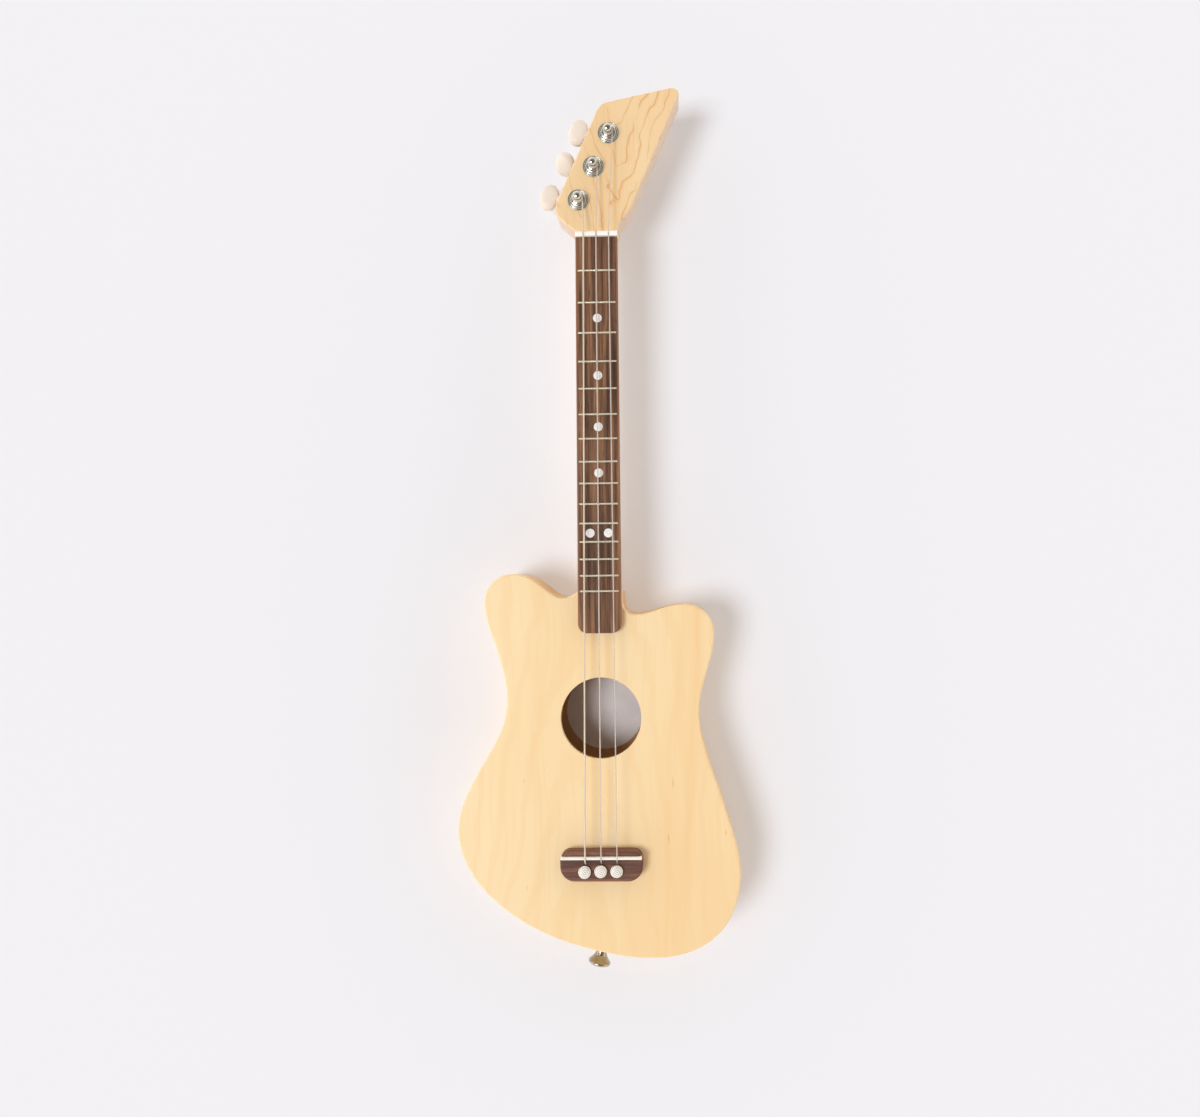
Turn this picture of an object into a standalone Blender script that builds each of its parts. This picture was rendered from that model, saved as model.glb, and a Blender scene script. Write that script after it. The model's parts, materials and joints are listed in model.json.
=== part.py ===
"""Mini acoustic guitar with three nylon strings and open worm-and-gear tuners.

Metres, lying on its back: +Z points out of the front, +Y runs along the neck to the headstock,
and the origin is on the back's outer face, straight behind the centre of the sound hole.
"""
import math

import bmesh
import bpy
import numpy as np
from mathutils import Matrix, Vector

# Clearances
SEAT_GAP = 0.0003
RUN_GAP = 0.0002

# Body
BODY_LENGTH = 0.2226
BODY_WIDTH = 0.1723
BODY_DEPTH = 0.042
TOP_THICKNESS = 0.003
BACK_THICKNESS = 0.003
RIM_THICKNESS = 0.003
EDGE_ROUND = 0.0012
SOUND_HOLE_RADIUS = 0.0247
HOLE_BELOW_JOINT = 0.0778
NECK_BLOCK_LENGTH = 0.026
NECK_BLOCK_WIDTH = 0.042
TAIL_BLOCK_LENGTH = 0.018
TAIL_BLOCK_WIDTH = 0.052
TAIL_BLOCK_X = 0.010
BRACE_WIDTH = 0.006
BRACE_HEIGHT = 0.007
BRACE_END_HEIGHT = 0.0025
TOP_BRACE_FROM_HOLE = 0.009
BACK_BRACE_FROM_HOLE = 0.012

# Neck and headstock
SCALE_LENGTH = 0.381
FRET_COUNT = 15
NECK_WIDTH_AT_NUT = 0.0262
NECK_WIDTH_AT_END = 0.0267
NECK_DEPTH_AT_NUT = 0.0135
NECK_DEPTH_AT_HEEL = 0.015
HEEL_DEPTH = 0.036
HEEL_LENGTH = 0.042
HEADSTOCK_THICKNESS = 0.020
HEADSTOCK_EDGE = 0.0008

# Fingerboard, frets and nut
FINGERBOARD_THICKNESS = 0.0047
FINGERBOARD_PAST_JOINT = 0.0257
FINGERBOARD_CORNER = 0.0042
FINGERBOARD_EDGE = 0.0005
FRET_WIDTH = 0.0015
FRET_HEIGHT = 0.0009
FRET_INSET = 0.0011
TANG_WIDTH = 0.0005
TANG_DEPTH = 0.0014
NUT_THICKNESS = 0.0031
NUT_OVERHANG = 0.0002
NUT_RISE = 0.0022
NUT_SLOT_DEPTH = 0.0009

# Bridge, saddle and pins
BRIDGE_WIDTH = 0.050
BRIDGE_LENGTH = 0.0208
BRIDGE_HEIGHT = 0.008
BRIDGE_AHEAD_OF_SADDLE = 0.0064
BRIDGE_FRONT_CORNER = 0.0053
BRIDGE_REAR_CORNER = 0.0075
BRIDGE_EDGE = 0.0006
SADDLE_THICKNESS = 0.0022
SADDLE_SLOT_DEPTH = 0.004
SADDLE_RISE = 0.0025
SADDLE_CROWN = 0.0006
PIN_BEHIND_SADDLE = 0.0076
PIN_HEAD_RADIUS = 0.0039
PIN_HEAD_HEIGHT = 0.0030
PIN_SHANK_RADIUS = 0.0025
PIN_TIP_RADIUS = 0.0020
PIN_SHANK_LENGTH = 0.020
BRIDGE_PLATE_THICKNESS = 0.002
BRIDGE_PLATE_WIDTH = 0.056
BRIDGE_PLATE_LENGTH = 0.024

# Strings, from the thick one on the left to the thin one on the right
STRING_RADII = (0.0005, 0.00042, 0.00036)
STRING_SPACING_AT_NUT = 0.00785
STRING_SPACING_AT_SADDLE = 0.0096
STRING_AHEAD_OF_PIN = 0.0029
KNOT_RADIUS = 0.0015
WINDING_TURNS = 2
WINDING_GAP = 0.00065
WINDING_ABOVE_COLLAR = 0.0007

# Tuners
TUNER_SPACING = 0.0235
TUNER_LINE_ANGLE = math.radians(65.6)
TUNER_TURN = math.radians(-15.0)
FIRST_POST_X = -0.0115
FIRST_POST_BEYOND_NUT = 0.0254
GEAR_TEETH = 14
GEAR_RADIUS = 0.0041
WORM_RADIUS = 0.0017
TOOTH_HALF_HEIGHT = 0.0005
TOOTH_ROOT_GAP = 0.0003
TOOTH_BACKLASH = 0.0004
TOOTH_SLOPE = math.radians(20.0)
GEAR_THICKNESS = 0.0032
WORM_TURNS = 3
WORM_SHAFT_RADIUS = 0.0013
AXLE_BELOW_HEADSTOCK = 0.005
PLATE_THICKNESS = 0.0015
PLATE_WIDTH = 0.0175
PLATE_AHEAD_OF_POST = 0.010
PLATE_BEHIND_POST = 0.0090
PLATE_EAR_RADIUS = 0.0032
LUG_THICKNESS = 0.0016
LUG_WIDTH = 0.0050
PLATE_SCREW_RADIUS = 0.0011
PLATE_SCREW_LENGTH = 0.010
PLATE_SCREW_HEAD_RADIUS = 0.0021
PLATE_SCREW_HEAD_HEIGHT = 0.0014
POST_RADIUS = 0.0030
POST_STUB_RADIUS = 0.0017
POST_RIVET_RADIUS = 0.0025
POST_RIVET_HEIGHT = 0.0009
POST_COLLAR_RADIUS = 0.0034
POST_COLLAR_HEIGHT = 0.0003
POST_WAIST_RADIUS = 0.0021
POST_RING_RADIUS = 0.0029
POST_TIP_RADIUS = 0.0025
POST_HEIGHT = 0.0096
FLANGE_RADIUS = 0.00685
FLANGE_HEIGHT = 0.0016
SLEEVE_RADIUS = 0.0042
SLEEVE_LENGTH = 0.009
BUTTON_REACH = 0.0236
BUTTON_LENGTH = 0.0125
BUTTON_WIDTH = 0.0170
BUTTON_THICKNESS = 0.0078
BUTTON_BOSS_RADIUS = 0.0031
BUTTON_BOSS_LENGTH = 0.0022
BUTTON_TURNS = (0.0, 50.0, 5.0)

# Strap button, one piece with its wood screw
STRAP_BUTTON_X = -0.001
STRAP_HEAD_RADIUS = 0.0068
STRAP_WAIST_RADIUS = 0.0031
STRAP_BASE_RADIUS = 0.0055
STRAP_LENGTH = 0.0148
STRAP_SCREW_RADIUS = 0.0018
STRAP_SCREW_LENGTH = 0.017

# Body outline, walked from the left of the neck joint round the tail to its right.
# Each knot is a percentage of the body's width from the centre line and of its length from the joint.
BODY_KNOTS = (
    (-7.9, 0.0), (-13.1, 1.8), (-19.7, -0.7), (-25.8, -4.0), (-31.5, -5.0),
    (-37.3, -3.7), (-41.1, 0.1), (-41.5, 5.5), (-38.0, 14.4), (-34.6, 23.3),
    (-33.7, 29.1), (-35.4, 37.2), (-40.6, 45.2), (-47.0, 53.9), (-50.7, 61.5),
    (-50.8, 69.1), (-46.0, 77.8), (-35.4, 86.4), (-19.3, 93.8), (-3.8, 97.7),
    (15.7, 100.0), (31.4, 98.2), (42.7, 92.0), (48.2, 82.3), (48.7, 74.5),
    (45.9, 65.1), (40.5, 52.2), (35.9, 40.3), (35.1, 31.4), (37.7, 22.8),
    (40.5, 14.1), (39.7, 8.2), (35.4, 4.9), (29.3, 3.9), (20.9, 5.2),
    (13.9, 6.5), (9.5, 5.7), (8.1, 3.5), (7.9, 0.0),
)
OUTLINE_STEPS = 2

# Headstock corners beyond the nut: across from the centre line, up from the nut, corner radius.
HEAD_NECK_RIGHT = (0.0141, 0.0103, 0.010)
HEAD_LOWER_RIGHT = (0.0212, 0.0193, 0.012)
HEAD_TIP = (0.0556, 0.0984, 0.0043)
HEAD_UPPER_LEFT = (0.0026, 0.0877, 0.009)
HEAD_LOWER_LEFT = (-0.0282, 0.0179, 0.010)
HEAD_NECK_LEFT_RISE = 0.0046
HEAD_NECK_RADIUS = 0.003

# Heights and stations that follow from the sizes above
FACE_Z = BODY_DEPTH
JOINT_Y = HOLE_BELOW_JOINT
NUT_Y = JOINT_Y + SCALE_LENGTH * (1.0 - 2.0 ** (-FRET_COUNT / 12.0))
SADDLE_Y = NUT_Y - SCALE_LENGTH
PIN_Y = SADDLE_Y - PIN_BEHIND_SADDLE
BOARD_BOTTOM = FACE_Z + SEAT_GAP
BOARD_TOP = BOARD_BOTTOM + FINGERBOARD_THICKNESS
BOARD_END_Y = JOINT_Y - FINGERBOARD_PAST_JOINT
BRIDGE_TOP = FACE_Z + BRIDGE_HEIGHT
SADDLE_TOP = BRIDGE_TOP + SADDLE_RISE
TOP_UNDERSIDE = FACE_Z - TOP_THICKNESS
INNER_LOW = BACK_THICKNESS + SEAT_GAP
INNER_HIGH = TOP_UNDERSIDE - SEAT_GAP
BRIDGE_PLATE_LOW = INNER_HIGH - BRIDGE_PLATE_THICKNESS
HEAD_BACK_Z = FACE_Z - HEADSTOCK_THICKNESS
AXLE_Z = HEAD_BACK_Z - AXLE_BELOW_HEADSTOCK
AXLE_OFFSET = GEAR_RADIUS + WORM_RADIUS
GEAR_PITCH = 2.0 * math.pi * GEAR_RADIUS / GEAR_TEETH
TOOTH_WIDTH = GEAR_PITCH / 2.0 - TOOTH_BACKLASH / 2.0
TOOTH_DEPTH = TOOTH_HALF_HEIGHT + TOOTH_ROOT_GAP
TIP_HALF_WIDTH = TOOTH_WIDTH / 2.0 - TOOTH_HALF_HEIGHT * math.tan(TOOTH_SLOPE)
ROOT_HALF_WIDTH = TOOTH_WIDTH / 2.0 + TOOTH_DEPTH * math.tan(TOOTH_SLOPE)
FLANGE_BASE = FACE_Z + SEAT_GAP
COLLAR_Z = FLANGE_BASE + FLANGE_HEIGHT + RUN_GAP
POST_TOP = FACE_Z + POST_HEIGHT
PLATE_TOP = HEAD_BACK_Z - SEAT_GAP
PLATE_BOTTOM = PLATE_TOP - PLATE_THICKNESS
BLOCK_INSET = RIM_THICKNESS + SEAT_GAP
STRAP_HOLE_DEPTH = max(STRAP_SCREW_LENGTH, BLOCK_INSET + TAIL_BLOCK_LENGTH) + SEAT_GAP
ORIGIN = Matrix.Identity(4)
KNOT_STEPS = (-0.95, -0.6, 0.0, 0.6, 0.95)
KNOT_SWELL = (0.45, 0.85, 1.0, 0.85, 0.45)


def clear_scene():
    for obj in list(bpy.data.objects):
        bpy.data.objects.remove(obj, do_unlink=True)


def material(name, colour, roughness, metallic=0.0):
    mat = bpy.data.materials.new(name)
    mat.use_nodes = True
    shader = mat.node_tree.nodes["Principled BSDF"]
    shader.inputs["Base Color"].default_value = (*colour, 1.0)
    shader.inputs["Roughness"].default_value = roughness
    shader.inputs["Metallic"].default_value = metallic
    return mat


def make_materials():
    return {
        "basswood": material("basswood", (0.93, 0.70, 0.40), 0.45),
        "maple": material("maple", (0.90, 0.63, 0.36), 0.40),
        "walnut": material("walnut", (0.12, 0.055, 0.03), 0.55),
        "spruce": material("spruce", (0.70, 0.52, 0.32), 0.60),
        "ivory_plastic": material("ivory_plastic", (0.85, 0.82, 0.76), 0.35),
        "cream_plastic": material("cream_plastic", (0.88, 0.76, 0.62), 0.35),
        "nickel": material("nickel", (0.66, 0.64, 0.60), 0.22, 1.0),
        "brass": material("brass", (0.78, 0.62, 0.32), 0.30, 1.0),
        "steel": material("steel", (0.55, 0.55, 0.56), 0.35, 1.0),
        "fret_wire": material("fret_wire", (0.72, 0.68, 0.50), 0.30, 1.0),
        "nylon": material("nylon", (0.86, 0.82, 0.76), 0.30),
    }


def link(obj, mat):
    bpy.context.scene.collection.objects.link(obj)
    if mat is not None:
        obj.data.materials.append(mat)
    return obj


def mesh_object(name, verts, faces, mat, smooth_angle=35.0):
    mesh = bpy.data.meshes.new(name)
    mesh.from_pydata([tuple(v) for v in verts], [], faces)
    bm = bmesh.new()
    bm.from_mesh(mesh)
    bmesh.ops.recalc_face_normals(bm, faces=bm.faces)
    bm.to_mesh(mesh)
    bm.free()
    mesh.shade_smooth()
    mesh.set_sharp_from_angle(angle=math.radians(smooth_angle))
    return link(bpy.data.objects.new(name, mesh), mat)


def loft(name, rings, mat=None):
    """A closed solid through rings of equal count, with a flat face over the first and the last."""
    count = len(rings[0])
    verts = [v for ring in rings for v in ring]
    faces = [tuple(reversed(range(count)))]
    for level in range(len(rings) - 1):
        low = level * count
        for i in range(count):
            j = (i + 1) % count
            faces.append((low + i, low + j, low + count + j, low + count + i))
    faces.append(tuple(range(len(verts) - count, len(verts))))
    return mesh_object(name, verts, faces, mat)


def stacked(name, outline, levels, mat=None):
    """An outline at several heights, each level an inset and a height."""
    return loft(name, [[(x, y, z) for x, y in offset(outline, inward)] for inward, z in levels], mat)


def prism(name, outline, low, high, mat=None):
    return loft(name, [[(x, y, low) for x, y in outline], [(x, y, high) for x, y in outline]], mat)


def box(name, low, high, mat=None):
    outline = [(low[0], low[1]), (high[0], low[1]), (high[0], high[1]), (low[0], high[1])]
    return prism(name, outline, low[2], high[2], mat)


def lathe(name, profile, mat, place=ORIGIN, sides=20):
    """A profile of radius and height, turned about the local Z of a placing matrix."""
    verts = []
    rings = []
    for radius, height in profile:
        if radius < 1e-7:
            rings.append([len(verts)])
            verts.append(place @ Vector((0.0, 0.0, height)))
            continue
        rings.append(list(range(len(verts), len(verts) + sides)))
        for i in range(sides):
            turn = 2.0 * math.pi * i / sides
            verts.append(place @ Vector((radius * math.cos(turn), radius * math.sin(turn), height)))
    return mesh_object(name, verts, ring_faces(rings), mat)


def ring_faces(rings):
    """Faces between rings of vertex numbers, where a ring of one is a pole."""
    faces = []
    for low, high in zip(rings, rings[1:]):
        sides = max(len(low), len(high))
        for i in range(sides):
            j = (i + 1) % sides
            if len(low) == 1:
                faces.append((low[0], high[j], high[i]))
            elif len(high) == 1:
                faces.append((low[i], low[j], high[0]))
            else:
                faces.append((low[i], low[j], high[j], high[i]))
    if len(rings[0]) > 1:
        faces.append(tuple(reversed(rings[0])))
    if len(rings[-1]) > 1:
        faces.append(tuple(rings[-1]))
    return faces


def rod(name, radius, start, end, mat=None, sides=20):
    start = Vector(start)
    run = Vector(end) - start
    place = Matrix.Translation(start) @ run.to_track_quat("Z", "Y").to_matrix().to_4x4()
    return lathe(name, [(radius, 0.0), (radius, run.length)], mat, place, sides)


def drill(name, radius, start, end, sides=20):
    """A round cutter whose flats lie at the given radius."""
    return rod(name, radius / math.cos(math.pi / sides), start, end, None, sides)


def swept_tube(name, points, radius, sides=8):
    """A closed tube along points, for cutting a channel."""
    points = [Vector(p) for p in points]
    radius = radius / math.cos(math.pi / sides)
    rings = []
    normal = None
    for i, point in enumerate(points):
        before = points[max(i - 1, 0)]
        after = points[min(i + 1, len(points) - 1)]
        along = (after - before).normalized()
        if normal is None:
            normal = along.orthogonal().normalized()
        normal = (normal - along * normal.dot(along)).normalized()
        other = along.cross(normal)
        ring = []
        for k in range(sides):
            turn = 2.0 * math.pi * k / sides
            ring.append(point + radius * (math.cos(turn) * normal + math.sin(turn) * other))
        rings.append(ring)
    return loft(name, rings)


def tube(name, points, radius, mat, resolution, swell=()):
    """A round string as a curve with a bevel and filled caps, and a swelling over its first points."""
    curve = bpy.data.curves.new(name, "CURVE")
    curve.dimensions = "3D"
    curve.bevel_depth = radius
    curve.bevel_resolution = resolution
    curve.render_resolution_u = 0
    curve.use_fill_caps = True
    spline = curve.splines.new("POLY")
    spline.points.add(len(points) - 1)
    for slot, point in zip(spline.points, points):
        slot.co = (*point, 1.0)
    for slot, size in zip(spline.points, swell):
        slot.radius = size / radius
    spline.use_smooth = True
    return link(bpy.data.objects.new(name, curve), mat)


def boolean(obj, tool, operation="DIFFERENCE"):
    tool.hide_render = True
    tool.display_type = "WIRE"
    modifier = obj.modifiers.new(tool.name, "BOOLEAN")
    modifier.operation = operation
    modifier.solver = "EXACT"
    modifier.object = tool
    return obj


def smooth_curve(knots, steps):
    """Points on the natural cubic spline through knots, spaced by chord."""
    knots = np.array(knots, dtype=float)
    span = np.linalg.norm(np.diff(knots, axis=0), axis=1)
    count = len(knots)
    system = np.eye(count)
    pull = np.zeros((count, 2))
    for i in range(1, count - 1):
        system[i, i - 1:i + 2] = span[i - 1], 2.0 * (span[i - 1] + span[i]), span[i]
        pull[i] = 6.0 * ((knots[i + 1] - knots[i]) / span[i] - (knots[i] - knots[i - 1]) / span[i - 1])
    bend = np.linalg.solve(system, pull)
    points = []
    for i in range(count - 1):
        for step in range(steps):
            s = span[i] * step / steps
            slope = (knots[i + 1] - knots[i]) / span[i] - span[i] * (2.0 * bend[i] + bend[i + 1]) / 6.0
            cubic = (bend[i + 1] - bend[i]) / (6.0 * span[i])
            points.append(tuple(knots[i] + slope * s + bend[i] * s * s / 2.0 + cubic * s ** 3))
    points.append(tuple(knots[-1]))
    return points


def rounded(corners, step=30.0):
    """A polygon whose corners, each an x, a y and a radius, are rounded by arcs."""
    points = []
    count = len(corners)
    for i in range(count):
        here = Vector(corners[i][:2])
        before = (Vector(corners[i - 1][:2]) - here).normalized()
        after = (Vector(corners[(i + 1) % count][:2]) - here).normalized()
        radius = corners[i][2]
        if radius <= 0.0:
            points.append(tuple(here))
            continue
        half = before.angle(after) / 2.0
        centre = here + (before + after).normalized() * (radius / math.sin(half))
        first = here + before * (radius / math.tan(half)) - centre
        last = here + after * (radius / math.tan(half)) - centre
        turn = math.atan2(first.x * last.y - first.y * last.x, first.dot(last))
        steps = max(2, round(math.degrees(abs(turn)) / step))
        for k in range(steps + 1):
            points.append(tuple(centre + Matrix.Rotation(turn * k / steps, 2) @ first))
    return points


def offset(outline, distance):
    """A counter-clockwise outline moved inwards, point for point."""
    points = np.array(outline)
    before = points - np.roll(points, 1, axis=0)
    after = np.roll(points, -1, axis=0) - points
    before /= np.linalg.norm(before, axis=1)[:, None]
    after /= np.linalg.norm(after, axis=1)[:, None]
    left_before = np.stack([-before[:, 1], before[:, 0]], axis=1)
    left_after = np.stack([-after[:, 1], after[:, 0]], axis=1)
    mitre = (left_before + left_after) / (1.0 + np.sum(left_before * left_after, axis=1))[:, None]
    return points + distance * mitre


def distance_to(outline, point):
    starts = np.array(outline)
    runs = np.roll(starts, -1, axis=0) - starts
    share = np.sum((point - starts) * runs, axis=1) / np.sum(runs * runs, axis=1)
    nearest = starts + np.clip(share, 0.0, 1.0)[:, None] * runs
    return float(np.min(np.linalg.norm(point - nearest, axis=1)))


def inset(outline, distance):
    """A closed outline moved inwards, without the points that a tight corner folds back."""
    moved = offset(outline, distance)
    return [tuple(p) for p in moved if distance_to(outline, p) > distance * 0.985]


def span_at(outline, y):
    """The clear run across the centre line at one height of an outline."""
    crossings = []
    for (x0, y0), (x1, y1) in zip(outline, outline[1:] + outline[:1]):
        if (y0 - y) * (y1 - y) <= 0.0 and y0 != y1:
            crossings.append(x0 + (x1 - x0) * (y - y0) / (y1 - y0))
    return max(x for x in crossings if x < 0.0), min(x for x in crossings if x > 0.0)


def bend_points(before, corner, after, radius, steps=4):
    """A round bend of a string at a corner between two straight runs."""
    before, corner, after = Vector(before), Vector(corner), Vector(after)
    into = (before - corner).normalized()
    out = (after - corner).normalized()
    half = into.angle(out) / 2.0
    reach = radius / math.tan(half)
    centre = corner + (into + out).normalized() * (radius / math.sin(half))
    first = corner + into * reach - centre
    last = corner + out * reach - centre
    axis = first.cross(last).normalized()
    turn = first.angle(last)
    return [centre + Matrix.Rotation(turn * k / steps, 3, axis) @ first for k in range(steps + 1)]


def neck_width(y):
    share = (NUT_Y - y) / (NUT_Y - BOARD_END_Y)
    return NECK_WIDTH_AT_NUT + (NECK_WIDTH_AT_END - NECK_WIDTH_AT_NUT) * share


def fret_y(number):
    return NUT_Y - SCALE_LENGTH * (1.0 - 2.0 ** (-number / 12.0))


def string_x(index, y):
    share = (NUT_Y - y) / SCALE_LENGTH
    spacing = STRING_SPACING_AT_NUT + (STRING_SPACING_AT_SADDLE - STRING_SPACING_AT_NUT) * share
    return (index - 1) * spacing


def post_place(index):
    """The axis of a string post, counted from the nut."""
    along = TUNER_SPACING * index
    x = FIRST_POST_X + along * math.cos(TUNER_LINE_ANGLE)
    y = NUT_Y + FIRST_POST_BEYOND_NUT + along * math.sin(TUNER_LINE_ANGLE)
    return Vector((x, y, 0.0))


def winding_radius(index):
    return POST_WAIST_RADIUS + SEAT_GAP + STRING_RADII[index]


def winding_contact(index):
    """The point on a post's right side where its string meets the lowest turn."""
    radius = winding_radius(index)
    post = post_place(index)
    nut = Vector((string_x(index, NUT_Y), NUT_Y + NUT_THICKNESS / 2.0, 0.0))
    away = post - nut
    run = Matrix.Rotation(-math.asin(radius / away.length), 3, "Z") @ away.normalized()
    height = COLLAR_Z + WINDING_ABOVE_COLLAR + STRING_RADII[index]
    return post + radius * Vector((run.y, -run.x, 0.0)) + Vector((0.0, 0.0, height))


def nut_crossing(index):
    height = BOARD_TOP + NUT_RISE - NUT_SLOT_DEPTH + SEAT_GAP + STRING_RADII[index]
    return Vector((string_x(index, NUT_Y), NUT_Y + SEAT_GAP + NUT_THICKNESS / 2.0, height))


def saddle_crossing(index):
    height = SADDLE_TOP + SEAT_GAP + STRING_RADII[index]
    return Vector((string_x(index, SADDLE_Y), SADDLE_Y, height))


def make_body(mats):
    outline = smooth_curve([(x / 100 * BODY_WIDTH, JOINT_Y - y / 100 * BODY_LENGTH) for x, y in BODY_KNOTS], OUTLINE_STEPS)
    inner = inset(outline, RIM_THICKNESS)
    block_line = inset(outline, BLOCK_INSET)
    part_round = EDGE_ROUND * (1.0 - math.sqrt(0.5))

    # Soundboard and back, each with its outer edge rounded
    soundboard = stacked("soundboard", outline, ((0.0, TOP_UNDERSIDE), (0.0, FACE_Z - EDGE_ROUND),
                                                 (part_round, FACE_Z - part_round), (EDGE_ROUND, FACE_Z)),
                         mats["basswood"])
    boolean(soundboard, drill("sound_hole", SOUND_HOLE_RADIUS, (0, 0, TOP_UNDERSIDE - 0.01), (0, 0, FACE_Z + 0.01), 48))
    stacked("back", outline, ((EDGE_ROUND, 0.0), (part_round, part_round), (0.0, EDGE_ROUND), (0.0, BACK_THICKNESS)),
            mats["basswood"])

    # Rim, one bent strip whose ends meet under the neck's heel
    rim = prism("rim", outline, INNER_LOW, INNER_HIGH, mats["basswood"])
    boolean(rim, prism("rim_inside", inner, INNER_LOW - 0.01, INNER_HIGH + 0.01))
    seam = SEAT_GAP / 2.0
    boolean(rim, box("rim_seam", (-seam, JOINT_Y - 0.01, -0.01), (seam, JOINT_Y + 0.01, BODY_DEPTH + 0.01)))
    strap_place = strap_button_place(outline)
    strap_hole = drill("strap_hole", STRAP_SCREW_RADIUS + SEAT_GAP,
                       strap_place @ Vector((0, 0, -STRAP_HOLE_DEPTH)),
                       strap_place @ Vector((0, 0, 0.001)), 12)
    boolean(rim, strap_hole)

    # Neck and tail blocks, shaped to the rim
    block_end = JOINT_Y - BLOCK_INSET - NECK_BLOCK_LENGTH
    half = NECK_BLOCK_WIDTH / 2.0
    neck_block = prism("neck_block", block_line, INNER_LOW, INNER_HIGH, mats["maple"])
    boolean(neck_block, box("neck_block_region", (-half, block_end, 0), (half, JOINT_Y, BODY_DEPTH)), "INTERSECT")
    half = TAIL_BLOCK_WIDTH / 2.0
    tail_low = min(y for x, y in block_line)
    tail_block = prism("tail_block", block_line, INNER_LOW, INNER_HIGH, mats["maple"])
    region = box("tail_block_region", (TAIL_BLOCK_X - half, tail_low - 0.01, 0),
                 (TAIL_BLOCK_X + half, tail_low + TAIL_BLOCK_LENGTH, BODY_DEPTH))
    boolean(tail_block, region, "INTERSECT")
    boolean(tail_block, strap_hole)

    # Braces across the soundboard and the back
    top_brace_y = SOUND_HOLE_RADIUS + TOP_BRACE_FROM_HOLE
    make_brace("top_brace_upper", block_line, top_brace_y, INNER_HIGH, -1.0, mats["spruce"])
    make_brace("top_brace_lower", block_line, -top_brace_y, INNER_HIGH, -1.0, mats["spruce"])
    back_brace_y = -SOUND_HOLE_RADIUS - BACK_BRACE_FROM_HOLE
    make_brace("back_brace", block_line, back_brace_y, INNER_LOW, 1.0, mats["spruce"])

    # Bridge plate, glued under the soundboard
    half = BRIDGE_PLATE_WIDTH / 2.0
    middle = SADDLE_Y + BRIDGE_AHEAD_OF_SADDLE - BRIDGE_LENGTH / 2.0
    plate = box("bridge_plate", (-half, middle - BRIDGE_PLATE_LENGTH / 2.0, BRIDGE_PLATE_LOW),
                (half, middle + BRIDGE_PLATE_LENGTH / 2.0, INNER_HIGH), mats["maple"])
    make_strap_button(strap_place, mats["nickel"])
    return soundboard, plate


def make_brace(name, clear_line, y, root, up, mat):
    """A bar whose ends are thinned down, glued at root and standing up or down from it."""
    near = span_at(clear_line, y - BRACE_WIDTH / 2.0)
    far = span_at(clear_line, y + BRACE_WIDTH / 2.0)
    left = max(near[0], far[0])
    right = min(near[1], far[1])
    taper = (right - left) * 0.2
    profile = [(left, 0.0), (right, 0.0), (right, BRACE_END_HEIGHT), (right - taper, BRACE_HEIGHT),
               (left + taper, BRACE_HEIGHT), (left, BRACE_END_HEIGHT)]
    loft(name, [[(x, y + s * BRACE_WIDTH / 2.0, root + up * h) for x, h in profile] for s in (-1.0, 1.0)], mat)


def strap_button_place(outline):
    """The strap button's frame on the tail, with its local Z square to the rim and outwards."""
    for (x0, y0), (x1, y1) in zip(outline, outline[1:]):
        if y0 < SADDLE_Y and x0 <= STRAP_BUTTON_X < x1:
            break
    along = Vector((x1 - x0, y1 - y0, 0.0)).normalized()
    outward = Vector((along.y, -along.x, 0.0))
    y = y0 + (y1 - y0) * (STRAP_BUTTON_X - x0) / (x1 - x0)
    turn = outward.to_track_quat("Z", "Y").to_matrix().to_4x4()
    return Matrix.Translation((STRAP_BUTTON_X, y, BODY_DEPTH / 2.0)) @ turn


def make_strap_button(place, mat):
    head = STRAP_HEAD_RADIUS
    waist = STRAP_WAIST_RADIUS
    top = STRAP_LENGTH
    screw = STRAP_SCREW_RADIUS
    profile = [(0.0, -STRAP_SCREW_LENGTH), (screw, -STRAP_SCREW_LENGTH + 0.004), (screw, SEAT_GAP * 2.0),
               (STRAP_BASE_RADIUS, SEAT_GAP * 2.0), (STRAP_BASE_RADIUS, 0.0014), (waist + 0.0006, 0.0035),
               (waist, 0.0065), (waist + 0.0006, 0.0090), (head - 0.0010, top - 0.0032), (head, top - 0.0019),
               (head, top - 0.0009), (head - 0.0010, top), (head * 0.45, top), (head * 0.38, top - 0.0008),
               (0.0, top - 0.0008)]
    lathe("strap_button", profile, mat, place, 18)


def neck_ring(y, depth, fullness, width=None, count=14):
    """A flat-topped, round-backed section of the neck."""
    half = (width or neck_width(y)) / 2.0
    ring = []
    for i in range(count + 1):
        turn = math.pi * i / count
        x = half * math.copysign(abs(math.cos(turn)) ** fullness, math.cos(turn))
        ring.append((x, y, FACE_Z - depth * math.sin(turn) ** fullness))
    return ring


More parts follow.
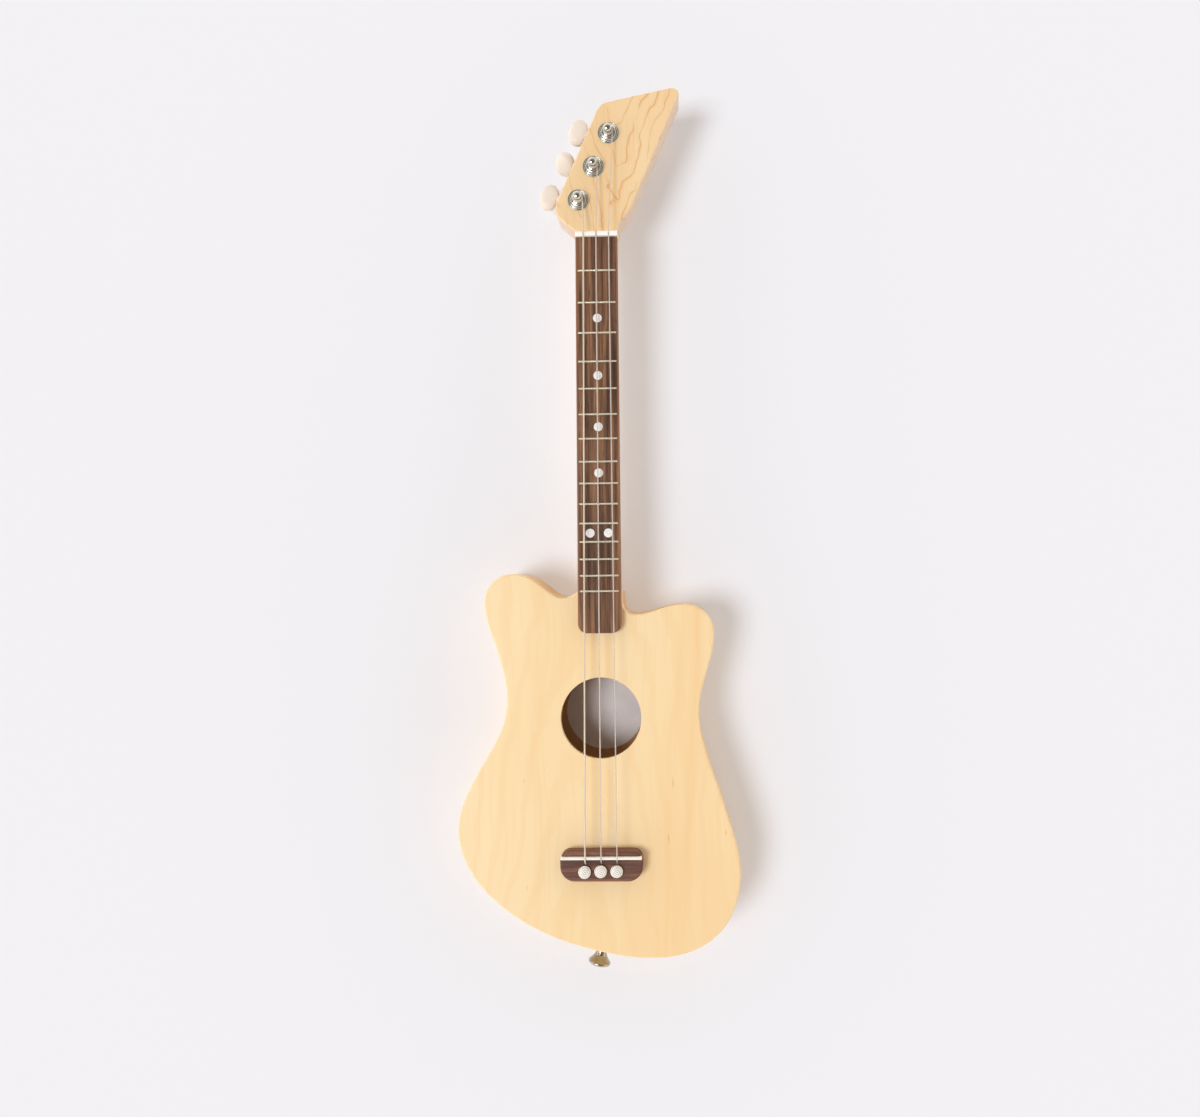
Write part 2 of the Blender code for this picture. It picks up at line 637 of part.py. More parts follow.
def make_neck(mats):
    rings = []
    for i in range(9):
        share = i / 8.0
        ease = (1.0 - share) ** 2 * (1.0 + 2.0 * share)
        depth = NECK_DEPTH_AT_HEEL + (HEEL_DEPTH - NECK_DEPTH_AT_HEEL) * ease
        rings.append(neck_ring(JOINT_Y + SEAT_GAP + HEEL_LENGTH * share, depth, 0.9 - 0.15 * ease))
    rings.append(neck_ring(NUT_Y - 0.022, NECK_DEPTH_AT_NUT, 0.9))
    for share in (0.25, 0.5, 0.75, 1.0):
        ease = share * share * (3.0 - 2.0 * share)
        depth = NECK_DEPTH_AT_NUT + (HEADSTOCK_THICKNESS - 0.0006 - NECK_DEPTH_AT_NUT) * ease
        y = NUT_Y - 0.022 + 0.026 * share
        rings.append(neck_ring(y, depth, 0.9 - 0.3 * ease, NECK_WIDTH_AT_NUT))
    neck = loft("neck", rings, mats["maple"])

    half = NECK_WIDTH_AT_NUT / 2.0
    corners = [(half, NUT_Y - 0.0005, 0.0), (half, NUT_Y + 0.003, HEAD_NECK_RADIUS)]
    for x, rise, radius in (HEAD_NECK_RIGHT, HEAD_LOWER_RIGHT, HEAD_TIP, HEAD_UPPER_LEFT, HEAD_LOWER_LEFT):
        corners.append((x, NUT_Y + rise, radius))
    corners.append((-half, NUT_Y + HEAD_NECK_LEFT_RISE, HEAD_NECK_RADIUS))
    corners.append((-half, NUT_Y - 0.0005, 0.0))
    edge = HEADSTOCK_EDGE
    levels = ((edge, HEAD_BACK_Z), (0.0, HEAD_BACK_Z + edge), (0.0, FACE_Z - edge), (edge, FACE_Z))
    boolean(neck, stacked("headstock", rounded(corners, 18.0), levels), "UNION")

    for index in range(3):
        post = post_place(index)
        low = post + Vector((0, 0, HEAD_BACK_Z - 0.005))
        high = post + Vector((0, 0, FACE_Z + 0.005))
        boolean(neck, drill(f"post_hole_{index + 1}", SLEEVE_RADIUS + SEAT_GAP, low, high))
        spot = plate_screw_spot(index)
        low = spot + Vector((0, 0, HEAD_BACK_Z - 0.002))
        high = spot + Vector((0, 0, PLATE_BOTTOM + PLATE_SCREW_LENGTH))
        boolean(neck, drill(f"pilot_hole_{index + 1}", PLATE_SCREW_RADIUS + SEAT_GAP, low, high, 12))


def make_fingerboard(mats):
    low = BOARD_BOTTOM
    high = BOARD_TOP
    nut_half = NECK_WIDTH_AT_NUT / 2.0
    end_half = NECK_WIDTH_AT_END / 2.0
    cut = FINGERBOARD_CORNER
    outline = [(-nut_half, NUT_Y), (-end_half, BOARD_END_Y + cut), (-end_half + cut * 0.22, BOARD_END_Y + cut * 0.42),
               (-end_half + cut, BOARD_END_Y), (end_half - cut, BOARD_END_Y),
               (end_half - cut * 0.22, BOARD_END_Y + cut * 0.42), (end_half, BOARD_END_Y + cut), (nut_half, NUT_Y)]
    board = stacked("fingerboard", outline, ((0.0, low), (0.0, high - FINGERBOARD_EDGE), (FINGERBOARD_EDGE, high)),
                    mats["walnut"])
    section = fret_section()
    for number in range(1, FRET_COUNT + 1):
        y = fret_y(number)
        half = neck_width(y) / 2.0 - FRET_INSET
        fret = loft(f"fret_{number:02d}", [[(x, s, z) for s, z in section] for x in (half, -half)], mats["fret_wire"])
        fret.location = (0.0, y, high)
        slot = TANG_WIDTH / 2.0 + RUN_GAP
        cutter = box(f"fret_slot_{number:02d}", (-half - SEAT_GAP, y - slot, high - TANG_DEPTH - SEAT_GAP),
                     (half + SEAT_GAP, y + slot, high + 0.002))
        boolean(board, cutter)


def fret_section():
    """A fret's section across the board: a round crown with a tang down its slot."""
    seat = SEAT_GAP
    tang = TANG_WIDTH / 2.0
    crown = FRET_WIDTH / 2.0
    section = [(-tang, -TANG_DEPTH), (tang, -TANG_DEPTH), (tang, seat), (crown, seat)]
    for turn in (35.0, 70.0, 110.0, 145.0):
        angle = math.radians(turn)
        section.append((crown * math.cos(angle), seat + (FRET_HEIGHT - seat) * math.sin(angle)))
    return section + [(-crown, seat), (-tang, seat)]


def make_nut(mats):
    half = NECK_WIDTH_AT_NUT / 2.0 + NUT_OVERHANG
    front = NUT_Y + SEAT_GAP
    rear = front + NUT_THICKNESS
    top = BOARD_TOP + NUT_RISE
    section = [(front, BOARD_BOTTOM), (rear, BOARD_BOTTOM), (rear, top - 0.0013), (rear - 0.0005, top - 0.0004),
               (rear - 0.0013, top), (front + 0.0004, top), (front, top - 0.0004)]
    nut = loft("nut", [[(x, y, z) for y, z in section] for x in (half, -half)], mats["ivory_plastic"])
    for index, radius in enumerate(STRING_RADII):
        over = nut_crossing(index)
        front_end = over + (saddle_crossing(index) - over).normalized() * 0.006
        rear_end = over + (winding_contact(index) - over).normalized() * 0.006
        path = [front_end, over, rear_end]
        lift = Vector((0, 0, radius * 1.5))
        boolean(nut, swept_tube(f"nut_slot_{index + 1}", path, radius + SEAT_GAP))
        boolean(nut, swept_tube(f"nut_slot_mouth_{index + 1}", [p + lift for p in path], radius + SEAT_GAP))


def string_points(index):
    """A string from its knot under the bridge plate, over the saddle and the nut, to its post."""
    radius = STRING_RADII[index]
    x = string_x(index, SADDLE_Y)
    knot_y = PIN_Y + PIN_SHANK_RADIUS + KNOT_RADIUS + SEAT_GAP
    knot_z = BRIDGE_PLATE_LOW - SEAT_GAP - KNOT_RADIUS
    channel_y = PIN_Y + STRING_AHEAD_OF_PIN
    elbow = Vector((x, channel_y, BRIDGE_TOP - 0.0019))
    lift = Vector((x, PIN_Y + PIN_HEAD_RADIUS, BRIDGE_TOP - 0.0011))
    behind = Vector((x, SADDLE_Y - SADDLE_THICKNESS * 0.62, SADDLE_TOP + 0.0002 + radius))
    saddle = saddle_crossing(index)
    nut = nut_crossing(index)
    contact = winding_contact(index)
    points = [Vector((x, knot_y, knot_z + step * KNOT_RADIUS)) for step in KNOT_STEPS]
    points.append(Vector((x, channel_y + 0.0004, BRIDGE_PLATE_LOW + 0.0004)))
    points.append(Vector((x, channel_y, BRIDGE_PLATE_LOW + 0.0022)))
    points += bend_points(points[-1], elbow, lift, 0.0008)
    points += bend_points(lift, behind, saddle, 0.0012)
    points += [saddle]
    points += bend_points(saddle, nut, contact, 0.006, 3)
    points.append(contact + (nut - contact).normalized() * (2.0 * radius + SEAT_GAP))
    return points


def winding_points(index):
    """The turns of a string round its post, ending inside the post's cross hole."""
    post = post_place(index)
    contact = winding_contact(index)
    radius = winding_radius(index)
    string = STRING_RADII[index]
    low = contact.z
    start_angle = math.atan2(contact.y - post.y, contact.x - post.x)
    pitch = 2.0 * string + WINDING_GAP
    nut = nut_crossing(index)
    points = [contact + (nut - contact).normalized() * 2.0 * string]
    for i in range(24 * WINDING_TURNS + 1):
        angle = start_angle + 2.0 * math.pi * i / 24.0
        points.append(post + Vector((radius * math.cos(angle), radius * math.sin(angle), low + pitch * i / 24.0)))
    end_angle = start_angle + 2.0 * math.pi * WINDING_TURNS
    height = low + pitch * WINDING_TURNS
    curl = 1.3 * string
    swing = math.asin(curl / (radius - curl))
    centre = post + (radius - curl) * Vector((math.cos(end_angle), math.sin(end_angle), 0)) + Vector((0, 0, height))
    for i in range(1, 6):
        turn = end_angle + (math.pi / 2.0 + swing) * i / 5.0
        points.append(centre + curl * Vector((math.cos(turn), math.sin(turn), 0)))
    heading = Vector((math.cos(end_angle + swing), math.sin(end_angle + swing), 0))
    for reach in (0.5 * POST_WAIST_RADIUS, -2.0 * string):
        points.append(post + reach * heading + Vector((0, 0, height)))
    return points


def least_gap(points, radius, apart):
    """The least clear gap of a tube to itself, between points that are at least so far apart along it."""
    points = np.array([tuple(p) for p in points])
    reach = np.concatenate([[0.0], np.cumsum(np.linalg.norm(np.diff(points, axis=0), axis=1))])
    least = math.inf
    for i, point in enumerate(points):
        beyond = reach > reach[i] + apart
        if beyond.any():
            least = min(least, float(np.min(np.linalg.norm(points[beyond] - point, axis=1))))
    return least - 2.0 * radius


def make_strings(mats):
    for index, radius in enumerate(STRING_RADII):
        swell = [size * KNOT_RADIUS for size in KNOT_SWELL]
        tube(f"string_{index + 1}", string_points(index), radius, mats["nylon"], 2, swell)
        turns = winding_points(index)
        post = post_place(index)
        winding = tube(f"string_winding_{index + 1}", [p - post for p in turns], radius, mats["nylon"], 1)
        winding.location = post
        gap = least_gap(turns, radius, math.pi * winding_radius(index))
        print(f"string_winding_{index + 1}: least gap to itself {gap * 1000.0:.2f} mm")


def make_bridge(mats, soundboard, plate):
    half = BRIDGE_WIDTH / 2.0
    front = SADDLE_Y + BRIDGE_AHEAD_OF_SADDLE
    rear = front - BRIDGE_LENGTH
    outline = rounded([(-half, rear, BRIDGE_REAR_CORNER), (half, rear, BRIDGE_REAR_CORNER),
                       (half, front, BRIDGE_FRONT_CORNER), (-half, front, BRIDGE_FRONT_CORNER)], 22.0)
    levels = ((0.0, FACE_Z + SEAT_GAP), (0.0, BRIDGE_TOP - BRIDGE_EDGE), (BRIDGE_EDGE, BRIDGE_TOP))
    bridge = stacked("bridge", outline, levels, mats["walnut"])
    slot_half = SADDLE_THICKNESS / 2.0 + SEAT_GAP
    slot_floor = BRIDGE_TOP - SADDLE_SLOT_DEPTH
    boolean(bridge, box("saddle_slot", (-half - 0.002, SADDLE_Y - slot_half, slot_floor),
                        (half + 0.002, SADDLE_Y + slot_half, BRIDGE_TOP + 0.002)))
    thick = SADDLE_THICKNESS / 2.0
    section = [(thick, slot_floor + SEAT_GAP), (thick, SADDLE_TOP - SADDLE_CROWN), (thick * 0.5, SADDLE_TOP),
               (-thick * 0.5, SADDLE_TOP), (-thick, SADDLE_TOP - SADDLE_CROWN), (-thick, slot_floor + SEAT_GAP)]
    reach = half - 0.0006
    loft("saddle", [[(x, SADDLE_Y + s, z) for s, z in section] for x in (-reach, reach)], mats["ivory_plastic"])

    for index, radius in enumerate(STRING_RADII):
        x = string_x(index, SADDLE_Y)
        hole = drill(f"pin_hole_{index + 1}", PIN_SHANK_RADIUS + SEAT_GAP, (x, PIN_Y, BRIDGE_PLATE_LOW - 0.01),
                     (x, PIN_Y, BRIDGE_TOP + 0.01), 16)
        path = string_points(index)[len(KNOT_STEPS) - 1:len(KNOT_STEPS) + 8]
        channel = swept_tube(f"string_channel_{index + 1}", path, radius + SEAT_GAP)
        for obj in (bridge, soundboard, plate):
            boolean(obj, hole)
            boolean(obj, channel)
        make_pin(index, x, mats["ivory_plastic"])


def make_pin(index, x, mat):
    """A bridge pin: a domed head and a tapered shank with a groove for the string."""
    head = PIN_HEAD_RADIUS
    low = -PIN_SHANK_LENGTH
    profile = [(0.0, low), (PIN_TIP_RADIUS * 0.7, low), (PIN_TIP_RADIUS, low + 0.0012), (PIN_SHANK_RADIUS, 0.0),
               (head - 0.0004, 0.0), (head, 0.0005), (head, 0.0011), (head * 0.82, PIN_HEAD_HEIGHT * 0.72),
               (head * 0.45, PIN_HEAD_HEIGHT * 0.94), (0.0, PIN_HEAD_HEIGHT)]
    pin = lathe(f"bridge_pin_{index + 1}", profile, mat, sides=16)
    pin.location = (x, PIN_Y, BRIDGE_TOP + SEAT_GAP)
    groove = drill(f"pin_groove_{index + 1}", STRING_RADII[index] + SEAT_GAP,
                   (0, STRING_AHEAD_OF_PIN, low - 0.002), (0, STRING_AHEAD_OF_PIN, -SEAT_GAP), 8)
    groove.parent = pin
    boolean(pin, groove)


def empty_at(name, location, turn=0.0, parent=None):
    empty = bpy.data.objects.new(name, None)
    bpy.context.scene.collection.objects.link(empty)
    empty.location = location
    empty.rotation_euler = (0.0, 0.0, turn)
    empty.parent = parent
    return empty


def plate_screw_spot(index):
    reach = -PLATE_BEHIND_POST + PLATE_EAR_RADIUS
    return post_place(index) + Matrix.Rotation(TUNER_TURN, 3, "Z") @ Vector((0.0, reach, 0.0))


def gear_rings():
    """The two ends of a wheel of skewed, flat-topped teeth, with one tooth towards the worm."""
    outer = GEAR_RADIUS + TOOTH_HALF_HEIGHT
    inner = GEAR_RADIUS - TOOTH_DEPTH
    corners = ((inner, -ROOT_HALF_WIDTH / inner), (outer, -TIP_HALF_WIDTH / outer),
               (outer, TIP_HALF_WIDTH / outer), (inner, ROOT_HALF_WIDTH / inner))
    skew = GEAR_THICKNESS / 2.0 * GEAR_PITCH / (2.0 * math.pi * WORM_RADIUS) / GEAR_RADIUS
    rings = []
    for side in (-1.0, 1.0):
        ring = []
        for k in range(GEAR_TEETH):
            middle = math.pi / 2.0 + 2.0 * math.pi * k / GEAR_TEETH + side * skew
            for radius, share in corners:
                angle = middle + share
                ring.append((radius * math.cos(angle), radius * math.sin(angle), AXLE_Z + side * GEAR_THICKNESS / 2.0))
        rings.append(ring)
    return rings


def lug_start():
    """How far from the worm's middle its two lugs begin."""
    return (WORM_TURNS + 1.5) * GEAR_PITCH / 2.0


def make_worm(name, mat):
    """A one-start right-handed worm about local X, with its shaft and journals, as one closed skin."""
    steps = 16
    crest = WORM_RADIUS + TOOTH_HALF_HEIGHT
    root = WORM_RADIUS - TOOTH_DEPTH
    start = -GEAR_PITCH * WORM_TURNS / 2.0
    total = steps * WORM_TURNS
    verts = []
    faces = []

    def point(x, radius, step):
        angle = 2.0 * math.pi * step / steps
        verts.append((x, -radius * math.cos(angle), -radius * math.sin(angle)))
        return len(verts) - 1

    def rail(shift, rise, length):
        numbers = []
        for j in range(length + 1):
            fade = max(0.0, min(1.0, j / 5.0, (total - j) / 5.0))
            numbers.append(point(start + GEAR_PITCH * j / steps + shift, root + rise * fade, j))
        return numbers

    before = rail(-ROOT_HALF_WIDTH, 0.0, total + steps)
    low = rail(-TIP_HALF_WIDTH, crest - root, total)
    high = rail(TIP_HALF_WIDTH, crest - root, total)
    after = rail(ROOT_HALF_WIDTH, 0.0, total)
    for j in range(total):
        faces.append((before[j], low[j], low[j + 1], before[j + 1]))
        faces.append((low[j], high[j], high[j + 1], low[j + 1]))
        faces.append((high[j], after[j], after[j + 1], high[j + 1]))
        faces.append((after[j], before[j + steps], before[j + steps + 1], after[j + 1]))

    shoulder = lug_start() - SEAT_GAP
    shaft = WORM_SHAFT_RADIUS
    far_end = lug_start() + LUG_THICKNESS + 0.0008
    near = [[point(x, r, j) for j in range(steps)]
            for x, r in ((-shoulder + 0.0006, root), (-shoulder + 0.0004, shaft), (-BUTTON_REACH, shaft))]
    far = [[point(x, r, j) for j in range(steps)]
           for x, r in ((shoulder - 0.0006, root), (shoulder - 0.0004, shaft), (far_end, shaft))]
    for rings in (near, far):
        for a, b in zip(rings, rings[1:]):
            for j in range(steps):
                k = (j + 1) % steps
                faces.append((a[j], a[k], b[k], b[j]))
        faces.append(tuple(rings[-1]))
    first = near[0]
    last = far[0]
    for j in range(steps - 1):
        faces.append((first[j], first[j + 1], before[j + 1], before[j]))
    faces.append((first[steps - 1], first[0], before[0], low[0], high[0], after[0], before[steps], before[steps - 1]))
    for j in range(1, steps):
        faces.append((last[j], last[(j + 1) % steps], before[total + j + 1], before[total + j]))
    faces.append((last[0], last[1], before[total + 1], before[total], low[total], high[total], after[total],
                  before[total + steps]))
    return mesh_object(name, verts, faces, mat)


def make_button(name, mat):
    """An oval tuner button about local X, full in the middle."""
    verts = []
    rings = []
    levels = 10
    around = 16
    for i in range(levels + 1):
        turn = math.pi * i / levels
        x = -math.cos(turn) * BUTTON_LENGTH / 2.0
        if i in (0, levels):
            rings.append([len(verts)])
            verts.append((x, 0.0, 0.0))
            continue
        rings.append(list(range(len(verts), len(verts) + around)))
        wide = math.sin(turn) ** 0.8 * BUTTON_WIDTH / 2.0
        thick = math.sin(turn) ** 0.6 * BUTTON_THICKNESS / 2.0
        for k in range(around):
            angle = 2.0 * math.pi * k / around
            y = math.copysign(abs(math.cos(angle)) ** 0.85, math.cos(angle)) * wide
            z = math.copysign(abs(math.sin(angle)) ** 0.85, math.sin(angle)) * thick
            verts.append((x, y, z))
    return mesh_object(name, verts, ring_faces(rings), mat, 60.0)


def make_bushing(number, axis, mat):
    """The bushing pressed in from the front, with its coned flange."""
    rim = FLANGE_BASE + FLANGE_HEIGHT
    profile = [(SLEEVE_RADIUS, FLANGE_BASE - SLEEVE_LENGTH), (SLEEVE_RADIUS, FLANGE_BASE),
               (FLANGE_RADIUS, FLANGE_BASE), (FLANGE_RADIUS, FLANGE_BASE + 0.0005),
               (FLANGE_RADIUS - 0.0012, rim - 0.0004), (POST_COLLAR_RADIUS + 0.0004, rim)]
    bushing = lathe(f"tuner_{number}_bushing", profile, mat, sides=20)
    bushing.parent = axis
    bore = drill(f"bushing_bore_{number}", POST_RADIUS + RUN_GAP, (0, 0, 0), (0, 0, FACE_Z + 0.01), 20)
    bore.parent = axis
    boolean(bushing, bore)


def make_post(index, axis, mat):
    """The string post: rivet, gear stub, journal, collar, waist for the string, ring and round tip."""
    number = index + 1
    gear_low = AXLE_Z - GEAR_THICKNESS / 2.0 - RUN_GAP
    gear_high = AXLE_Z + GEAR_THICKNESS / 2.0 + RUN_GAP
    rivet = gear_low - POST_RIVET_HEIGHT
    waist_low = COLLAR_Z + POST_COLLAR_HEIGHT + 0.0001
    waist_high = POST_TOP - 0.0021
    profile = [(0.0, rivet), (POST_RIVET_RADIUS * 0.7, rivet), (POST_RIVET_RADIUS, rivet + POST_RIVET_HEIGHT * 0.6),
               (POST_RIVET_RADIUS, gear_low), (POST_STUB_RADIUS, gear_low), (POST_STUB_RADIUS, gear_high),
               (POST_RADIUS, gear_high), (POST_RADIUS, COLLAR_Z), (POST_COLLAR_RADIUS, COLLAR_Z),
               (POST_COLLAR_RADIUS, COLLAR_Z + POST_COLLAR_HEIGHT), (POST_WAIST_RADIUS, waist_low),
               (POST_WAIST_RADIUS, waist_high), (POST_RING_RADIUS, waist_high + 0.0003),
               (POST_RING_RADIUS, waist_high + 0.0007), (POST_TIP_RADIUS, waist_high + 0.0009),
               (POST_TIP_RADIUS * 0.85, POST_TOP - 0.0005), (POST_TIP_RADIUS * 0.5, POST_TOP - 0.0001), (0.0, POST_TOP)]
    post = lathe(f"tuner_{number}_post", profile, mat, sides=16)
    post.parent = axis
    end = [p - post_place(index) for p in winding_points(index)[-7:]]
    end.append(end[-1] + (end[-1] - end[-2]).normalized() * 0.0004)
    hole = swept_tube(f"post_string_hole_{number}", end, STRING_RADII[index] + SEAT_GAP)
    hole.parent = axis
    boolean(post, hole)


def make_plate(index, axis, frame, mat):
    """The base plate: a wide end with two lugs for the worm, drawn in to an ear with one screw."""
    number = index + 1
    half = PLATE_WIDTH / 2.0
    ear = PLATE_EAR_RADIUS
    low = -PLATE_BEHIND_POST
    high = PLATE_AHEAD_OF_POST
    outline = rounded([(-ear, low, ear * 0.95), (ear, low, ear * 0.95), (half, 0.0, 0.003), (half, high, 0.002),
                       (-half, high, 0.002), (-half, 0.0, 0.003)], 24.0)
    plate = prism(f"tuner_{number}_plate", outline, PLATE_BOTTOM, PLATE_TOP, mat)
    plate.parent = frame
    lug_low = AXLE_Z - WORM_SHAFT_RADIUS - 0.0015
    lug_half = LUG_WIDTH / 2.0
    for side, near, far in (("near", -lug_start() - LUG_THICKNESS, -lug_start()),
                            ("far", lug_start(), lug_start() + LUG_THICKNESS)):
        lug = box(f"lug_{side}_{number}", (near, AXLE_OFFSET - lug_half, lug_low),
                  (far, AXLE_OFFSET + lug_half, PLATE_BOTTOM + 0.0007))
        lug.parent = frame
        boolean(plate, lug, "UNION")
    reach = lug_start() + LUG_THICKNESS + 0.002
    journal = drill(f"journal_bore_{number}", WORM_SHAFT_RADIUS + RUN_GAP, (-reach, AXLE_OFFSET, AXLE_Z),
                    (reach, AXLE_OFFSET, AXLE_Z), 16)
    journal.parent = frame
    boolean(plate, journal)
    passage = drill(f"plate_hole_{number}", POST_RADIUS + RUN_GAP * 2.0, (0, 0, PLATE_BOTTOM - 0.01),
                    (0, 0, PLATE_TOP + 0.01), 24)
    passage.parent = axis
    boolean(plate, passage)
    spot = plate_screw_spot(index)
    screw_hole = drill(f"plate_screw_hole_{number}", PLATE_SCREW_RADIUS + SEAT_GAP,
                       spot + Vector((0, 0, PLATE_BOTTOM - 0.01)), spot + Vector((0, 0, PLATE_TOP + 0.01)), 12)
    boolean(plate, screw_hole)


def make_plate_screw(index, mat):
    """A round-headed wood screw up through the plate's ear, with a slot across its head."""
    head = PLATE_SCREW_HEAD_RADIUS
    tall = PLATE_SCREW_HEAD_HEIGHT
    profile = [(0.0, -tall), (head * 0.6, -tall), (head, -tall * 0.45), (head, 0.0), (PLATE_SCREW_RADIUS, 0.0),
               (PLATE_SCREW_RADIUS, PLATE_SCREW_LENGTH * 0.75), (0.0, PLATE_SCREW_LENGTH - SEAT_GAP * 3.0)]
    screw = lathe(f"tuner_{index + 1}_screw", profile, mat, sides=12)
    screw.location = plate_screw_spot(index) + Vector((0, 0, PLATE_BOTTOM - SEAT_GAP))
    slot = box(f"screw_slot_{index + 1}", (-0.003, -0.0003, -tall - 0.001), (0.003, 0.0003, -tall * 0.5))
    slot.parent = screw
    boolean(screw, slot)


def make_tuner(index, mats):
    number = index + 1
    post = post_place(index)
    axis = empty_at(f"post_axis_{number}", post)
    frame = empty_at(f"tuner_frame_{number}", post, TUNER_TURN)
    knob_axis = empty_at(f"knob_axis_{number}", (0.0, AXLE_OFFSET, AXLE_Z), 0.0, frame)
    make_bushing(number, axis, mats["nickel"])
    make_post(index, axis, mats["nickel"])
    make_plate(index, axis, frame, mats["nickel"])
    make_plate_screw(index, mats["steel"])

    gear = loft(f"tuner_{number}_gear", gear_rings(), mats["brass"])
    gear.parent = frame
    bore = drill(f"gear_bore_{number}", POST_STUB_RADIUS + SEAT_GAP, (0, 0, AXLE_Z - 0.01), (0, 0, AXLE_Z + 0.01))
    bore.parent = axis
    boolean(gear, bore)

    worm = make_worm(f"tuner_{number}_worm", mats["nickel"])
    worm.parent = knob_axis
    button = make_button(f"tuner_{number}_button", mats["cream_plastic"])
    button.parent = knob_axis
    button.location = (-BUTTON_REACH, 0.0, 0.0)
    button.rotation_euler = (math.radians(BUTTON_TURNS[index]), 0.0, 0.0)
    end = BUTTON_LENGTH / 2.0 + BUTTON_BOSS_LENGTH
    boss = rod(f"button_boss_{number}", BUTTON_BOSS_RADIUS, (BUTTON_LENGTH * 0.2, 0, 0), (end, 0, 0), sides=16)
    boss.parent = button
    boolean(button, boss, "UNION")
    socket = drill(f"button_socket_{number}", WORM_SHAFT_RADIUS + SEAT_GAP, (-SEAT_GAP, 0, 0), (end + 0.002, 0, 0), 16)
    socket.parent = button
    boolean(button, socket)


def main():
    clear_scene()
    mats = make_materials()
    soundboard, plate = make_body(mats)
    make_neck(mats)
    make_fingerboard(mats)
    make_nut(mats)
    make_bridge(mats, soundboard, plate)
    make_strings(mats)
    for index in range(3):
        make_tuner(index, mats)


main()
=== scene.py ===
"""The looks of the mini acoustic guitar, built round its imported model, in metres in the same frame."""
import json
import math

import bmesh
import bpy
import numpy as np
from mathutils import Matrix, Vector

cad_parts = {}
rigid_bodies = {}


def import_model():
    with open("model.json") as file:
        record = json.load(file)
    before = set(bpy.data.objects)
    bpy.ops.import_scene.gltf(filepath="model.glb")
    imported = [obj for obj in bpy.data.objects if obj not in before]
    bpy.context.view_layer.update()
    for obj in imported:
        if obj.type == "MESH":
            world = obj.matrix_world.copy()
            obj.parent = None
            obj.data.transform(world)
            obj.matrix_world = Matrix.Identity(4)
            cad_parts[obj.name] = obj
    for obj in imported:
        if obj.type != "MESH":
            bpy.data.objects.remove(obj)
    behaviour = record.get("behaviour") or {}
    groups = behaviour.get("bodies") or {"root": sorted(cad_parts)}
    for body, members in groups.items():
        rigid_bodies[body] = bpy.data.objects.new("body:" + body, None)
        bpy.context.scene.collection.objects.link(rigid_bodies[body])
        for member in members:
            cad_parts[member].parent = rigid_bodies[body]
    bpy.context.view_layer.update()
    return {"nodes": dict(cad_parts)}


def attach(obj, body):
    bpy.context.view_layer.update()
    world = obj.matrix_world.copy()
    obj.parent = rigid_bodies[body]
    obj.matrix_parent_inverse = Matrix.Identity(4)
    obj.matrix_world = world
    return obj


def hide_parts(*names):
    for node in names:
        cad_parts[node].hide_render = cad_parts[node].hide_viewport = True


for leftover in list(bpy.data.objects):
    bpy.data.objects.remove(leftover, do_unlink=True)
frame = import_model()
NODES = frame["nodes"]

# Body
BODY_LENGTH = 0.2226
BODY_WIDTH = 0.1723
BODY_DEPTH = 0.042
TOP_THICKNESS = 0.003
BACK_THICKNESS = 0.003
RIM_THICKNESS = 0.003
EDGE_ROUND = 0.0012
SOUND_HOLE_RADIUS = 0.0247
HOLE_ROUND = 0.0004
GLUE_LINE = 0.00003
LABEL_RADIUS = 0.0250
JOINT_Y = 0.0778

# Neck, headstock and fingerboard
SCALE_LENGTH = 0.381
FRET_COUNT = 15
NECK_WIDTH_AT_NUT = 0.0262
NECK_WIDTH_AT_END = 0.0267
NECK_DEPTH_AT_NUT = 0.0135
NECK_DEPTH_AT_HEEL = 0.015
NECK_SWELL_BEFORE_NUT = 0.022
NECK_SWELL_LENGTH = 0.026
HEEL_DEPTH = 0.036
HEEL_LENGTH = 0.042
HEADSTOCK_THICKNESS = 0.020
HEADSTOCK_EDGE = 0.0010
FINGERBOARD_CORNER = 0.0058
FINGERBOARD_EDGE = 0.0005
FRET_WIDTH = 0.0012
FRET_HEIGHT = 0.0009
FRET_INSET = 0.0011
NUT_THICKNESS = 0.0031
NUT_RISE = 0.0022
DOT_RADIUS = 0.00275
DOT_SHIFT = (0.00025, -0.0003)
DOT_PLACES = ((0.0, 3), (0.0, 5), (0.0, 7), (0.0, 9), (-0.0056, 12), (0.0056, 12))

# Bridge, saddle and pins
BRIDGE_WIDTH = 0.050
BRIDGE_LENGTH = 0.0184
BRIDGE_EDGE = 0.0015
BRIDGE_AHEAD_OF_SADDLE = 0.0040
BRIDGE_FRONT_CORNER = 0.0060
BRIDGE_REAR_CORNER = 0.0090
SADDLE_THICKNESS = 0.0016
PIN_HEAD_RADIUS = 0.0038
PIN_HEAD_HEIGHT = 0.0030
PIN_HEAD_EDGE = 0.0011
PIN_HEAD_SHIFTS = ((-0.0005, -0.0006), (-0.0004, -0.0002), (-0.0004, -0.0002))
PIN_RING_SPACING = 0.0011
PIN_SHANK_RADIUS = 0.0025
PIN_TIP_RADIUS = 0.0020
PIN_SHANK_LENGTH = 0.020

# Strings
STRING_RADII = (0.0005, 0.00042, 0.00036)
STRING_SPACING_AT_NUT = 0.00785
STRING_SPACING_AT_SADDLE = 0.0096
STRING_AHEAD_OF_PIN = 0.0029
KNOT_RADIUS = 0.0015
KNOT_STEPS = (-1.0, -0.8, -0.45, 0.0, 0.45, 0.8, 1.0)
KNOT_SWELL = (0.30, 0.70, 0.93, 1.0, 0.93, 0.70, 0.36)
WINDING_TURNS = 2
WINDING_STEPS = 48
WINDING_GAP = 0.00065
WINDING_ABOVE_COLLAR = 0.0007

